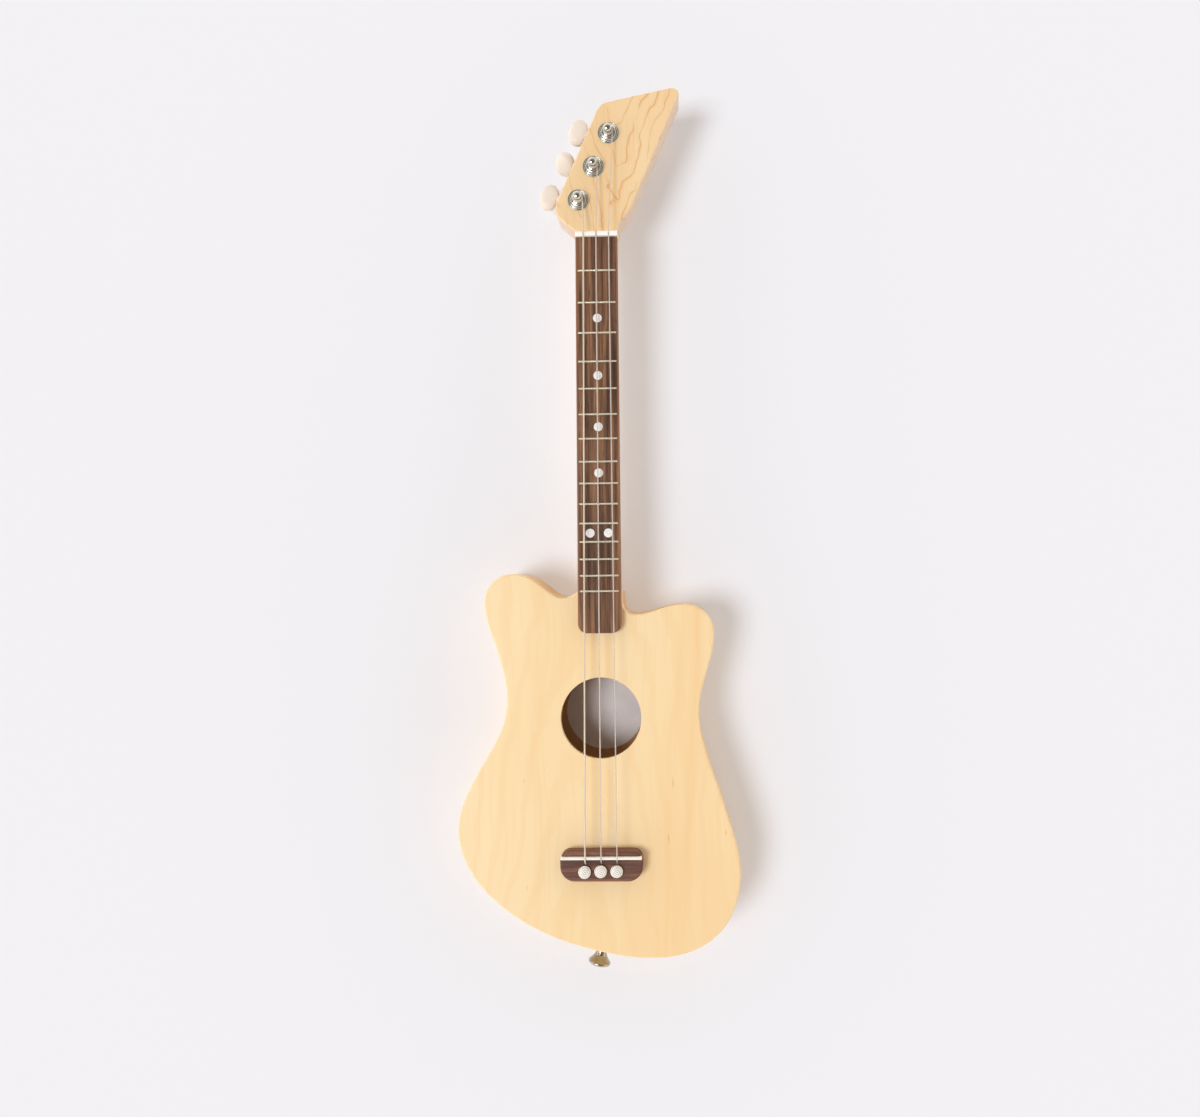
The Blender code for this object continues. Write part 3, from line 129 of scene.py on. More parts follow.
# Tuners
TUNER_SPACING = 0.0235
TUNER_LINE_ANGLE = math.radians(65.6)
TUNER_TURN = math.radians(-15.0)
FIRST_POST_X = -0.0115
FIRST_POST_BEYOND_NUT = 0.0254
AXLE_OFFSET = 0.0058
POST_RADIUS = 0.0030
POST_COLLAR_RADIUS = 0.0034
POST_WAIST_RADIUS = 0.0021
POST_RING_RADIUS = 0.0029
POST_TIP_RADIUS = 0.0026
FLANGE_RADIUS = 0.00685
FLANGE_HEIGHT = 0.0016
SLEEVE_RADIUS = 0.0042
SLEEVE_LENGTH = 0.0085
BUTTON_REACH = 0.0236
BUTTON_LENGTH = 0.0125
BUTTON_WIDTH = 0.0170
BUTTON_THICKNESS = 0.0078
BUTTON_BOSS_RADIUS = 0.0031
BUTTON_BOSS_LENGTH = 0.0022
BUTTON_TURNS = (0.0, 64.0, 5.0)
BUTTON_SHIFTS = ((0.0, 0.0), (0.0007, 0.0009), (0.0, 0.0))

# Strap button
STRAP_BUTTON_X = -0.001
STRAP_HEAD_RADIUS = 0.0068
STRAP_WAIST_RADIUS = 0.0031
STRAP_BASE_RADIUS = 0.0055
STRAP_LENGTH = 0.0148

# Body outline from the left of the neck joint round the tail to its right, as shares of width and length
BODY_KNOTS = (
    (-0.079, 0.000), (-0.131, 0.018), (-0.197, -0.007), (-0.258, -0.040), (-0.315, -0.050),
    (-0.373, -0.037), (-0.411, 0.001), (-0.415, 0.055), (-0.380, 0.144), (-0.346, 0.233),
    (-0.337, 0.291), (-0.354, 0.372), (-0.406, 0.452), (-0.470, 0.539), (-0.507, 0.615),
    (-0.508, 0.691), (-0.460, 0.778), (-0.354, 0.864), (-0.193, 0.938), (-0.038, 0.977),
    (0.157, 1.000), (0.314, 0.982), (0.427, 0.920), (0.482, 0.823), (0.487, 0.745),
    (0.459, 0.651), (0.405, 0.522), (0.359, 0.403), (0.351, 0.314), (0.377, 0.228),
    (0.405, 0.141), (0.397, 0.082), (0.354, 0.049), (0.293, 0.039), (0.209, 0.052),
    (0.139, 0.065), (0.095, 0.057), (0.081, 0.035), (0.079, 0.000),
)

# Headstock corners: across, up from the nut, corner radius
HEAD_CORNERS = (
    (0.0141, 0.0103, 0.010), (0.0212, 0.0193, 0.012), (0.0556, 0.0984, 0.0043),
    (0.0026, 0.0877, 0.009), (-0.0282, 0.0179, 0.010),
)

# Heights and stations
FACE_Z = BODY_DEPTH
NUT_Y = JOINT_Y + SCALE_LENGTH * (1.0 - 2.0 ** (-FRET_COUNT / 12.0))
SADDLE_Y = NUT_Y - SCALE_LENGTH
PIN_Y = SADDLE_Y - 0.0076
BOARD_TOP = 0.047
BOARD_END_Y = JOINT_Y - 0.0257
BRIDGE_TOP = 0.050
SADDLE_TOP = 0.0525
SEAT_GAP = 0.0003
ON_FACE = FACE_Z + 0.00002
HEAD_BACK_Z = FACE_Z - HEADSTOCK_THICKNESS
AXLE_Z = HEAD_BACK_Z - 0.005
COLLAR_Z = FACE_Z + SEAT_GAP + FLANGE_HEIGHT + 0.0002
POST_TOP = FACE_Z + 0.0096
BRIDGE_PLATE_LOW = 0.0367

# Maple's growth lines: how far apart across and along the wood, and where they turn back
GROWTH_HEART_X = 0.014
GROWTH_HEART_ROUND = 0.003
GROWTH_LINES_ACROSS = 118.0
GROWTH_LINES_ALONG = 44.0

# Room and camera, whose lens is given in pixels of the picture
FLOOR_GLOW = 0.20
SKY_STRENGTH = 1.64
PICTURE_WIDTH = 1200.0
PICTURE_CENTRE = (600.0, 558.5)
OPTICAL_CENTRE = (648.1, 532.7)
FOCAL_LENGTH = 999.0
SENSOR_WIDTH = 36.0


def mesh_object(name, verts, faces, mat=None, smooth_angle=35.0, place=None):
    mesh = bpy.data.meshes.new(name)
    mesh.from_pydata([tuple(v) for v in verts], [], faces)
    bm = bmesh.new()
    bm.from_mesh(mesh)
    bmesh.ops.recalc_face_normals(bm, faces=bm.faces)
    bm.to_mesh(mesh)
    bm.free()
    obj = bpy.data.objects.new(name, mesh)
    bpy.context.scene.collection.objects.link(obj)
    if mat is not None:
        mesh.materials.append(mat)
    mesh.shade_smooth()
    mesh.set_sharp_from_angle(angle=math.radians(smooth_angle))
    if place is not None:
        obj.matrix_world = place
    return obj


def loft(name, rings, mat=None, smooth_angle=35.0, place=None):
    """A closed solid through rings of equal count, with a flat face over the first and the last."""
    count = len(rings[0])
    verts = [v for ring in rings for v in ring]
    numbers = [list(range(low, low + count)) for low in range(0, len(verts), count)]
    return mesh_object(name, verts, ring_faces(numbers), mat, smooth_angle, place)


def stacked(name, outline, levels, mat=None):
    """An outline at several heights, each level an inset and a height."""
    return loft(name, [[(x, y, z) for x, y in offset(outline, inward)] for inward, z in levels], mat)


def prism(name, outline, low, high, mat=None):
    return loft(name, [[(x, y, z) for x, y in outline] for z in (low, high)], mat)


def box(name, low, high, mat=None):
    outline = [(low[0], low[1]), (high[0], low[1]), (high[0], high[1]), (low[0], high[1])]
    return prism(name, outline, low[2], high[2], mat)


def lathe(name, profile, mat=None, place=None, sides=64, section=None):
    """A profile of radius and height about the local Z of a placing matrix, round or in another section.

    A profile that ends where it starts gives a bored piece.
    """
    section = section or arc(2.0 * math.pi, sides)[:-1]
    verts = []
    rings = []
    bored = profile[0] == profile[-1]
    for radius, height in profile[:-1] if bored else profile:
        points = section if radius > 1e-7 else [(0.0, 0.0)]
        rings.append(list(range(len(verts), len(verts) + len(points))))
        verts += [(radius * x, radius * y, height) for x, y in points]
    if bored:
        rings.append(rings[0])
    return mesh_object(name, verts, ring_faces(rings), mat, 35.0, place)


def ring_faces(rings):
    """Faces between rings of vertex numbers, where a ring of one is a pole."""
    faces = []
    for low, high in zip(rings, rings[1:]):
        sides = max(len(low), len(high))
        for i in range(sides):
            j = (i + 1) % sides
            if len(low) == 1:
                faces.append((low[0], high[j], high[i]))
            elif len(high) == 1:
                faces.append((low[i], low[j], high[0]))
            else:
                faces.append((low[i], low[j], high[j], high[i]))
    if rings[0] != rings[-1]:
        faces += [tuple(ring) for ring in (rings[0][::-1], rings[-1]) if len(ring) > 1]
    return faces


def round_about(angle, radius, height=0.0):
    """A point at an angle and a radius from the Z axis."""
    return Vector((radius * math.cos(angle), radius * math.sin(angle), height))


def arc(turn, steps):
    """The cosine and the sine at even steps from 0 to an angle."""
    angles = [turn * k / steps for k in range(steps + 1)]
    return [(math.cos(angle), math.sin(angle)) for angle in angles]


def signed_power(value, exponent):
    return math.copysign(abs(value) ** exponent, value)


def soften(points, radius, steps=3):
    """A profile whose inner corners are rounded off."""
    result = [tuple(points[0])]
    for before, here, after in zip(points, points[1:], points[2:]):
        here = Vector(here)
        into = Vector(before) - here
        out = Vector(after) - here
        reach = min(radius, into.length * 0.45, out.length * 0.45)
        start = here + into.normalized() * reach
        end = here + out.normalized() * reach
        for k in range(steps + 1):
            t = k / steps
            result.append(tuple((1.0 - t) ** 2 * start + 2.0 * t * (1.0 - t) * here + t * t * end))
    result.append(tuple(points[-1]))
    return result


def rod(name, radius, start, end, sides=32):
    start = Vector(start)
    run = Vector(end) - start
    place = Matrix.Translation(start) @ run.to_track_quat("Z", "Y").to_matrix().to_4x4()
    return lathe(name, [(radius, 0.0), (radius, run.length)], None, place, sides)


def swept_tube(name, points, radii, mat=None, sides=16):
    """A closed round tube along points, with one radius for each point."""
    points = [Vector(p) for p in points]
    rings = []
    normal = None
    for i, point in enumerate(points):
        before = points[max(i - 1, 0)]
        after = points[min(i + 1, len(points) - 1)]
        along = (after - before).normalized()
        if normal is None:
            normal = along.orthogonal().normalized()
        normal = (normal - along * normal.dot(along)).normalized()
        other = along.cross(normal)
        rings.append([point + radii[i] * (c * normal + s * other) for c, s in arc(2.0 * math.pi, sides)[:-1]])
    return loft(name, rings, mat, 50.0)


def boolean(obj, tool, operation="DIFFERENCE"):
    """Cuts or joins at once, and takes the tool away."""
    modifier = obj.modifiers.new(tool.name, "BOOLEAN")
    modifier.operation = operation
    modifier.solver = "EXACT"
    modifier.object = tool
    bpy.context.view_layer.update()
    graph = bpy.context.evaluated_depsgraph_get()
    mesh = bpy.data.meshes.new_from_object(obj.evaluated_get(graph))
    obj.modifiers.clear()
    old = obj.data
    obj.data = mesh
    bpy.data.meshes.remove(old)
    bpy.data.objects.remove(tool, do_unlink=True)


def crisp(obj, smooth_angle=35.0):
    """Clean shading for a piece whose flat faces meet rounded edges."""
    obj.data.shade_smooth()
    obj.data.set_sharp_from_angle(angle=math.radians(smooth_angle))
    modifier = obj.modifiers.new("clean_shading", "WEIGHTED_NORMAL")
    modifier.keep_sharp = True
    modifier.weight = 90
    return obj


def smooth_curve(knots, steps):
    """Points on the natural cubic spline through knots, spaced by chord."""
    knots = np.array(knots, dtype=float)
    span = np.linalg.norm(np.diff(knots, axis=0), axis=1)
    count = len(knots)
    system = np.eye(count)
    pull = np.zeros((count, 2))
    for i in range(1, count - 1):
        system[i, i - 1:i + 2] = span[i - 1], 2.0 * (span[i - 1] + span[i]), span[i]
        pull[i] = 6.0 * ((knots[i + 1] - knots[i]) / span[i] - (knots[i] - knots[i - 1]) / span[i - 1])
    bend = np.linalg.solve(system, pull)
    points = []
    for i in range(count - 1):
        for step in range(steps):
            s = span[i] * step / steps
            slope = (knots[i + 1] - knots[i]) / span[i] - span[i] * (2.0 * bend[i] + bend[i + 1]) / 6.0
            cubic = (bend[i + 1] - bend[i]) / (6.0 * span[i])
            points.append(tuple(knots[i] + slope * s + bend[i] * s * s / 2.0 + cubic * s ** 3))
    points.append(tuple(knots[-1]))
    return points


def bend_points(before, corner, after, radius, steps=6):
    """A round bend at a corner between two straight runs."""
    into = (before - corner).normalized()
    out = (after - corner).normalized()
    half = into.angle(out) / 2.0
    reach = radius / math.tan(half)
    centre = corner + (into + out).normalized() * (radius / math.sin(half))
    first = corner + into * reach - centre
    last = corner + out * reach - centre
    axis = first.cross(last).normalized()
    turn = first.angle(last)
    return [centre + Matrix.Rotation(turn * k / steps, 3, axis) @ first for k in range(steps + 1)]


def rounded(corners, step=6.0):
    """A polygon whose corners, each an x, a y and a radius, are rounded in steps of so many degrees."""
    points = []
    places = [Vector((x, y, 0.0)) for x, y, radius in corners]
    for i, (x, y, radius) in enumerate(corners):
        if radius <= 0.0:
            points.append((x, y))
            continue
        before = places[i - 1]
        after = places[(i + 1) % len(places)]
        turn = 180.0 - math.degrees((before - places[i]).angle(after - places[i]))
        steps = max(3, round(turn / step))
        points += [tuple(point.xy) for point in bend_points(before, places[i], after, radius, steps)]
    return points


def offset(outline, distance):
    """A counter-clockwise outline moved inwards, point for point."""
    points = np.array(outline)
    before = points - np.roll(points, 1, axis=0)
    after = np.roll(points, -1, axis=0) - points
    before /= np.linalg.norm(before, axis=1)[:, None]
    after /= np.linalg.norm(after, axis=1)[:, None]
    left_before = np.stack([-before[:, 1], before[:, 0]], axis=1)
    left_after = np.stack([-after[:, 1], after[:, 0]], axis=1)
    mitre = (left_before + left_after) / (1.0 + np.sum(left_before * left_after, axis=1))[:, None]
    return points + distance * mitre


def inset(outline, distance):
    """A closed outline moved inwards, without the points that a tight corner folds back."""
    starts = np.array(outline)
    runs = np.roll(starts, -1, axis=0) - starts
    kept = []
    for point in offset(outline, distance):
        share = np.sum((point - starts) * runs, axis=1) / np.sum(runs * runs, axis=1)
        nearest = starts + np.clip(share, 0.0, 1.0)[:, None] * runs
        if np.min(np.linalg.norm(point - nearest, axis=1)) > distance * 0.985:
            kept.append(tuple(point))
    return kept


def edge_levels(low, high, radius, bottom_radius=0.0):
    """Insets and heights of a plate whose top and bottom edges are rounded."""
    quarter = arc(math.pi / 2.0, 5)
    levels = [(0.0, low)]
    if bottom_radius > 0.0:
        levels = [(bottom_radius * (1.0 - s), low + bottom_radius * (1.0 - c)) for c, s in quarter]
    return levels + [(radius * (1.0 - c), high - radius * (1.0 - s)) for c, s in quarter]


def neck_width(y):
    share = (NUT_Y - y) / (NUT_Y - BOARD_END_Y)
    return NECK_WIDTH_AT_NUT + (NECK_WIDTH_AT_END - NECK_WIDTH_AT_NUT) * share


def fret_y(number):
    return NUT_Y - SCALE_LENGTH * (1.0 - 2.0 ** (-number / 12.0))


def string_x(index, y):
    share = (NUT_Y - y) / SCALE_LENGTH
    spacing = STRING_SPACING_AT_NUT + (STRING_SPACING_AT_SADDLE - STRING_SPACING_AT_NUT) * share
    return (index - 1) * spacing


def post_place(index):
    along = TUNER_SPACING * index
    x = FIRST_POST_X + along * math.cos(TUNER_LINE_ANGLE)
    y = NUT_Y + FIRST_POST_BEYOND_NUT + along * math.sin(TUNER_LINE_ANGLE)
    return Vector((x, y, 0.0))


def winding_radius(index):
    return POST_WAIST_RADIUS + SEAT_GAP + STRING_RADII[index]


def winding_contact(index):
    """The point on a post's right side where its string meets the lowest turn."""
    radius = winding_radius(index)
    post = post_place(index)
    nut = Vector((string_x(index, NUT_Y), NUT_Y + NUT_THICKNESS / 2.0, 0.0))
    away = post - nut
    run = Matrix.Rotation(-math.asin(radius / away.length), 3, "Z") @ away.normalized()
    height = COLLAR_Z + WINDING_ABOVE_COLLAR + STRING_RADII[index]
    return post + radius * Vector((run.y, -run.x, 0.0)) + Vector((0.0, 0.0, height))


def nut_crossing(index):
    height = BOARD_TOP + NUT_RISE - 0.0006 + STRING_RADII[index]
    return Vector((string_x(index, NUT_Y), NUT_Y + SEAT_GAP + NUT_THICKNESS / 2.0, height))


def string_points(index):
    """A string from its knot under the bridge plate, over the saddle and the nut, to its post."""
    radius = STRING_RADII[index]
    x = string_x(index, SADDLE_Y)
    knot_y = PIN_Y + PIN_SHANK_RADIUS + KNOT_RADIUS + SEAT_GAP
    knot_z = BRIDGE_PLATE_LOW - SEAT_GAP - KNOT_RADIUS
    channel_y = PIN_Y + STRING_AHEAD_OF_PIN
    elbow = Vector((x, channel_y, BRIDGE_TOP - 0.0019))
    lift = Vector((x, PIN_Y + PIN_HEAD_RADIUS, BRIDGE_TOP - 0.0011))
    behind = Vector((x, SADDLE_Y - SADDLE_THICKNESS * 0.62, SADDLE_TOP + 0.0002 + radius))
    saddle = Vector((x, SADDLE_Y, SADDLE_TOP + SEAT_GAP + radius))
    nut = nut_crossing(index)
    contact = winding_contact(index)
    points = [Vector((x, knot_y, knot_z + step * KNOT_RADIUS)) for step in KNOT_STEPS]
    points.append(Vector((x, channel_y + 0.0004, BRIDGE_PLATE_LOW + 0.0004)))
    points.append(Vector((x, channel_y, BRIDGE_PLATE_LOW + 0.0022)))
    points += bend_points(points[-1], elbow, lift, 0.0008)
    points += bend_points(lift, behind, saddle, 0.0012)
    points += [saddle] + [saddle.lerp(nut, share) for share in (0.25, 0.5, 0.75)]
    points += bend_points(saddle, nut, contact, 0.006, 8)
    points.append(contact + (nut - contact).normalized() * 0.0002)
    return points


def winding_points(index):
    """The turns of a string round its post, ending inside the post's cross hole."""
    post = post_place(index)
    contact = winding_contact(index)
    radius = winding_radius(index)
    string = STRING_RADII[index]
    start_angle = math.atan2(contact.y - post.y, contact.x - post.x)
    pitch = 2.0 * string + WINDING_GAP
    points = [contact + (nut_crossing(index) - contact).normalized() * 2.0 * string]
    for i in range(WINDING_STEPS * WINDING_TURNS + 1):
        turns = i / WINDING_STEPS
        angle = start_angle + 2.0 * math.pi * turns
        points.append(post + round_about(angle, radius, contact.z + pitch * turns))
    end_angle = start_angle + 2.0 * math.pi * WINDING_TURNS
    level = Vector((0.0, 0.0, contact.z + pitch * WINDING_TURNS))
    curl = 1.3 * string
    swing = math.asin(curl / (radius - curl))
    centre = post + round_about(end_angle, radius - curl) + level
    for i in range(1, 11):
        points.append(centre + round_about(end_angle + (math.pi / 2.0 + swing) * i / 10.0, curl))
    for reach in (0.5 * POST_WAIST_RADIUS, -2.0 * string):
        points.append(post + round_about(end_angle + swing, reach) + level)
    return points


def show(obj, body, slot, *nodes):
    """Attaches a piece to what it moves with and hides the CAD nodes it stands for. The finish given as slot
    is not used.
    """
    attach(obj, body)
    if nodes:
        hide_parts(*nodes)


def dress(node, mat):
    """A CAD node that stays, in a better finish."""
    data = NODES[node].data
    data.materials.clear()
    data.materials.append(mat)


# Materials

class Shading:
    """A node tree with short ways to add to it."""

    def __init__(self, tree):
        self.tree = tree

    def put(self, slot, value):
        """Links a socket to a slot, or sets the slot to a constant."""
        if isinstance(value, bpy.types.NodeSocket):
            self.tree.links.new(value, slot)
        else:
            slot.default_value = value

    def add(self, kind, values, **settings):
        node = self.tree.nodes.new("ShaderNode" + kind)
        for key, value in settings.items():
            setattr(node, key, value)
        for key, value in values.items():
            self.put(node.inputs[key], value)
        return node

    def source(self, output):
        return self.add("TexCoord", {}).outputs[output]

    def parts(self, vector):
        return self.add("SeparateXYZ", {"Vector": vector}).outputs

    def mapped(self, vector, scale=(1, 1, 1), turn=(0, 0, 0), shift=(0, 0, 0)):
        values = {"Vector": vector, "Scale": scale, "Rotation": turn, "Location": shift}
        return self.add("Mapping", values).outputs["Vector"]

    def noise(self, vector, scale, detail=3.0, roughness=0.5, distortion=0.0):
        values = {"Vector": vector, "Scale": scale, "Detail": detail, "Roughness": roughness,
                  "Distortion": distortion}
        return self.add("TexNoise", values).outputs["Fac"]

    def grain(self, vector, across, along, detail, roughness=0.5, distortion=0.0, shift=(0, 0, 0)):
        """Noise drawn out along Y, by how often it changes in a metre across and along."""
        return self.noise(self.mapped(vector, (across, along, across), shift=shift), 1.0, detail, roughness,
                          distortion)

    def math(self, operation, *values):
        node = self.add("Math", {}, operation=operation)
        for slot, value in zip(node.inputs, values):
            self.put(slot, value)
        return node.outputs["Value"]

    def plus(self, first, second):
        return self.math("ADD", first, second)

    def minus(self, first, second):
        return self.math("SUBTRACT", first, second)

    def times(self, first, second):
        return self.math("MULTIPLY", first, second)

    def ramp(self, value, stops, interpolation="EASE"):
        node = self.add("ValToRGB", {"Fac": value})
        node.color_ramp.interpolation = interpolation
        elements = node.color_ramp.elements
        while len(elements) < len(stops):
            elements.new(0.5)
        for element, (position, colour) in zip(elements, stops):
            element.position = position
            element.color = (*colour, 1.0)
        return node.outputs["Color"]

    def grey(self, value, low, high):
        """Zero below low, one above high."""
        node = self.add("MapRange", {"Value": value, "From Min": low, "From Max": high})
        node.interpolation_type = "SMOOTHSTEP"
        return node.outputs["Result"]

    def mix(self, share, first, second):
        node = self.add("Mix", {}, data_type="RGBA")
        for number, value in ((0, share), (6, first), (7, second)):
            self.put(node.inputs[number], (*value, 1.0) if isinstance(value, tuple) else value)
        return node.outputs[2]

    def toned_and_shaded(self, colour, *tones_and_shades):
        """A colour moved towards each tone in turn, not at all at a value of low and by the most at high, for
        grain tones and painted shade alike.
        """
        for tone, value, low, high, most in tones_and_shades:
            colour = self.mix(self.times(self.grey(value, low, high), most), colour, tone)
        return colour


class Paint(Shading):
    """A material, with its place on the object in metres."""

    def __init__(self, name, roughness, metallic=0.0, **constants):
        self.mat = bpy.data.materials.new(name)
        self.mat.use_nodes = True
        super().__init__(self.mat.node_tree)
        self.shader = self.tree.nodes["Principled BSDF"]
        self.give(Roughness=roughness, Metallic=metallic, **constants)
        self.place = self.source("Object")

    def give(self, **values):
        """Sets or links the shader's inputs, their names with _ for a space."""
        for key, value in values.items():
            self.put(self.shader.inputs[key.replace("_", " ")], value)

    def colour(self, socket):
        self.give(Base_Color=socket)

    def rough(self, value, low, high):
        node = self.add("MapRange", {"Value": value, "To Min": low, "To Max": high})
        self.give(Roughness=node.outputs["Result"])

    def bump(self, height, distance, strength):
        node = self.add("Bump", {"Height": height, "Distance": distance, "Strength": strength})
        self.give(Normal=node.outputs["Normal"])

    def facing_up(self):
        return self.parts(self.source("Normal"))["Z"]


def linear(*srgb):
    """A colour as the eye reads it off a screen, 0 to 255, in scene-linear values."""
    values = []
    for channel in srgb:
        c = channel / 255.0
        values.append(c / 12.92 if c <= 0.04045 else ((c + 0.055) / 1.055) ** 2.4)
    return tuple(values)


def basswood(name, light, middle, dark, shift=(0.0, 0.0, 0.0), roughness=0.46, inside=None):
    """Pale close wood: long soft streaks, faint arches, fine fibres, a few flecks, and a browner inner face
    that is painted shade inside the closed box.
    """
    paint = Paint(name, roughness, Specular_IOR_Level=0.45)
    place = paint.mapped(paint.place, shift=shift)
    sway = paint.noise(paint.mapped(place, (3.0, 1.3, 3.0)), 4.0, 2.0)
    parts = paint.parts(place)
    swayed = paint.add("CombineXYZ", {"X": paint.plus(parts["X"], paint.times(sway, 0.05)),
                                                "Y": parts["Y"], "Z": parts["Z"]}).outputs["Vector"]
    streaks = paint.grain(swayed, 42.0, 1.5, 4.0, 0.55)
    patches = paint.grain(swayed, 13.0, 4.5, 2.0)
    fibres = paint.grain(swayed, 520.0, 11.0, 3.0, 0.6)
    tilted = paint.mapped(swayed, turn=(math.radians(7.0), 0.0, 0.0), shift=(-0.012, 0.0, 0.022))
    arches = paint.add("TexWave", {
        "Vector": tilted, "Scale": 34.0, "Distortion": 2.2, "Detail": 2.0, "Detail Scale": 1.4},
        wave_type="RINGS", rings_direction="Y", wave_profile="SIN").outputs["Fac"]
    flecks = paint.grain(place, 330.0, 60.0, 1.0, shift=(3.1, 1.7, 0.4))
    fleck_tone = tuple(c * f for c, f in zip(dark, (0.80, 0.68, 0.52)))
    colour = paint.ramp(streaks, ((0.26, light), (0.50, middle), (0.78, dark)))
    colour = paint.toned_and_shaded(
        colour, (dark, patches, 0.46, 0.68, 0.42), (light, patches, 0.50, 0.30, 0.50),
        (dark, arches, 0.62, 0.98, 0.30), (dark, fibres, 0.50, 0.75, 0.36),
        (fleck_tone, flecks, 0.78, 0.85, 0.60))
    # Painted shade: faces that look up, here the inner face of the back, turn towards the darker, warmer
    # inside tone for the shade and warm bounce in the box.
    if inside is not None:
        colour = paint.toned_and_shaded(colour, (inside, paint.facing_up(), 0.4, 0.9, 0.85))
    paint.colour(colour)
    paint.rough(fibres, roughness - 0.06, roughness + 0.08)
    paint.bump(paint.plus(fibres, paint.times(streaks, 0.4)), 0.00003, 0.5)
    return paint.mat


def growth_height(paint, place):
    """A slow hill over the wood. Its contours are the growth lines that the saw has cut through."""
    parts = paint.parts(place)
    off_heart = paint.minus(parts["X"], GROWTH_HEART_X)
    arch = paint.math("SQRT", paint.plus(paint.times(off_heart, off_heart), GROWTH_HEART_ROUND ** 2))
    hills = paint.grain(place, 34.0, 19.0, 1.4, 0.42)
    kinks = paint.grain(place, 170.0, 110.0, 1.0)
    height = paint.minus(paint.times(arch, GROWTH_LINES_ACROSS), paint.times(parts["Y"], GROWTH_LINES_ALONG))
    height = paint.plus(height, paint.times(hills, 4.5))
    return paint.plus(height, paint.times(kinks, 0.55))


def maple(name, light, middle, line, side, shift=(0.0, 0.0, 0.0)):
    """Pale maple with thin wandering orange growth lines, a soft ripple and duller pinkish-grey painted shade
    on its upright walls.
    """
    paint = Paint(name, 0.40, Specular_IOR_Level=0.5)
    place = paint.mapped(paint.place, shift=shift)
    step = 0.0002
    here = growth_height(paint, place)
    slope_x = paint.minus(growth_height(paint, paint.mapped(place, shift=(step, 0.0, 0.0))), here)
    slope_y = paint.minus(growth_height(paint, paint.mapped(place, shift=(0.0, step, 0.0))), here)
    slope = paint.math("SQRT", paint.plus(paint.times(slope_x, slope_x), paint.times(slope_y, slope_y)))
    slope = paint.math("MAXIMUM", paint.math("DIVIDE", slope, step), 40.0)
    phase = paint.minus(paint.math("FRACT", here), 0.5)
    reach = paint.math("DIVIDE", paint.math("ABSOLUTE", phase), slope)
    patches = paint.grain(place, 30.0, 9.0, 2.0)
    fibres = paint.grain(place, 640.0, 18.0, 3.0, 0.6)
    breaks = paint.grain(place, 60.0, 42.0, 2.0, shift=(0.3, 0.9, 0.2))
    colour = paint.ramp(patches, ((0.30, light), (0.70, middle)))
    thin = paint.times(paint.grey(reach, 0.00042, 0.00008), paint.grey(breaks, 0.32, 0.60))
    wide = paint.times(paint.grey(reach, 0.0022, 0.0003), paint.grey(breaks, 0.35, 0.70))
    colour = paint.mix(paint.times(wide, 0.22), colour, line)
    colour = paint.mix(paint.times(thin, 0.85), colour, line)
    # Painted shade: upright walls, facing neither up nor down, turn towards the side tone.
    flat = paint.math("ABSOLUTE", paint.facing_up())
    colour = paint.toned_and_shaded(colour, (line, fibres, 0.50, 0.74, 0.16), (side, flat, 0.75, 0.35, 0.65))
    paint.colour(colour)
    paint.rough(fibres, 0.35, 0.48)
    paint.bump(fibres, 0.00003, 0.4)
    return paint.mat


def walnut(name, light, middle, dark, turn=0.0, shift=(0.0, 0.0, 0.0), edge=0.0):
    """Dark open wood with long streaks and short dark pores, lighter beyond an edge distance."""
    paint = Paint(name, 0.52, Specular_IOR_Level=0.28)
    place = paint.mapped(paint.mapped(paint.place, turn=(0.0, 0.0, turn)), shift=shift)
    streaks = paint.grain(place, 420.0, 15.0, 4.0, 0.6, 0.2)
    bands = paint.grain(place, 150.0, 5.0, 2.0)
    pores = paint.grain(place, 1500.0, 85.0, 2.0, 0.6)
    fine = paint.grain(place, 900.0, 22.0, 3.0, 0.6)
    hole = paint.grey(pores, 0.60, 0.70)
    colour = paint.ramp(streaks, ((0.36, dark), (0.50, middle), (0.62, light)), "LINEAR")
    colour = paint.toned_and_shaded(
        colour, (dark, bands, 0.50, 0.62, 0.50), (light, bands, 0.46, 0.36, 0.45),
        (light, fine, 0.50, 0.72, 0.35))
    colour = paint.mix(paint.times(hole, 0.60), colour, tuple(c * 0.5 for c in dark))
    if edge > 0.0:
        across = paint.math("ABSOLUTE", paint.parts(paint.place)["X"])
        colour = paint.toned_and_shaded(colour, (linear(158, 112, 80), across, edge, edge + 0.0005, 0.75))
    paint.colour(colour)
    paint.rough(streaks, 0.44, 0.62)
    paint.bump(paint.minus(paint.times(fine, 0.4), hole), 0.00006, 0.6)
    return paint.mat


def moulded(name, tone, shade, roughness, scatter=0.0, mottle=55.0):
    """Moulded plastic with a slow drift of tone and a fine skin."""
    paint = Paint(name, roughness, Specular_IOR_Level=0.5)
    drift = paint.noise(paint.place, mottle, 3.0)
    skin = paint.noise(paint.place, 2600.0, 2.0)
    paint.colour(paint.mix(paint.grey(drift, 0.35, 0.68), tone, shade))
    paint.rough(skin, roughness - 0.05, roughness + 0.08)
    paint.bump(skin, 0.00002, 0.4)
    if scatter > 0.0:
        paint.give(Subsurface_Weight=scatter, Subsurface_Radius=(1.0, 0.8, 0.6), Subsurface_Scale=0.002)
    return paint.mat


def metal(name, tone, shade, roughness, scale=(260.0, 260.0, 40.0)):
    """Plated or drawn metal: fine lines along one way, smudges and a slight tarnish."""
    paint = Paint(name, roughness, 1.0)
    lines = paint.noise(paint.mapped(paint.place, scale), 6.0, 3.0, 0.6)
    smudge = paint.noise(paint.place, 190.0, 3.0, 0.55)
    paint.colour(paint.mix(paint.grey(smudge, 0.38, 0.72), tone, shade))
    wear = paint.plus(paint.times(lines, 0.5), paint.times(smudge, 0.5))
    paint.rough(wear, max(roughness - 0.07, 0.03), roughness + 0.10)
    paint.bump(lines, 0.00001, 0.35)
    return paint.mat


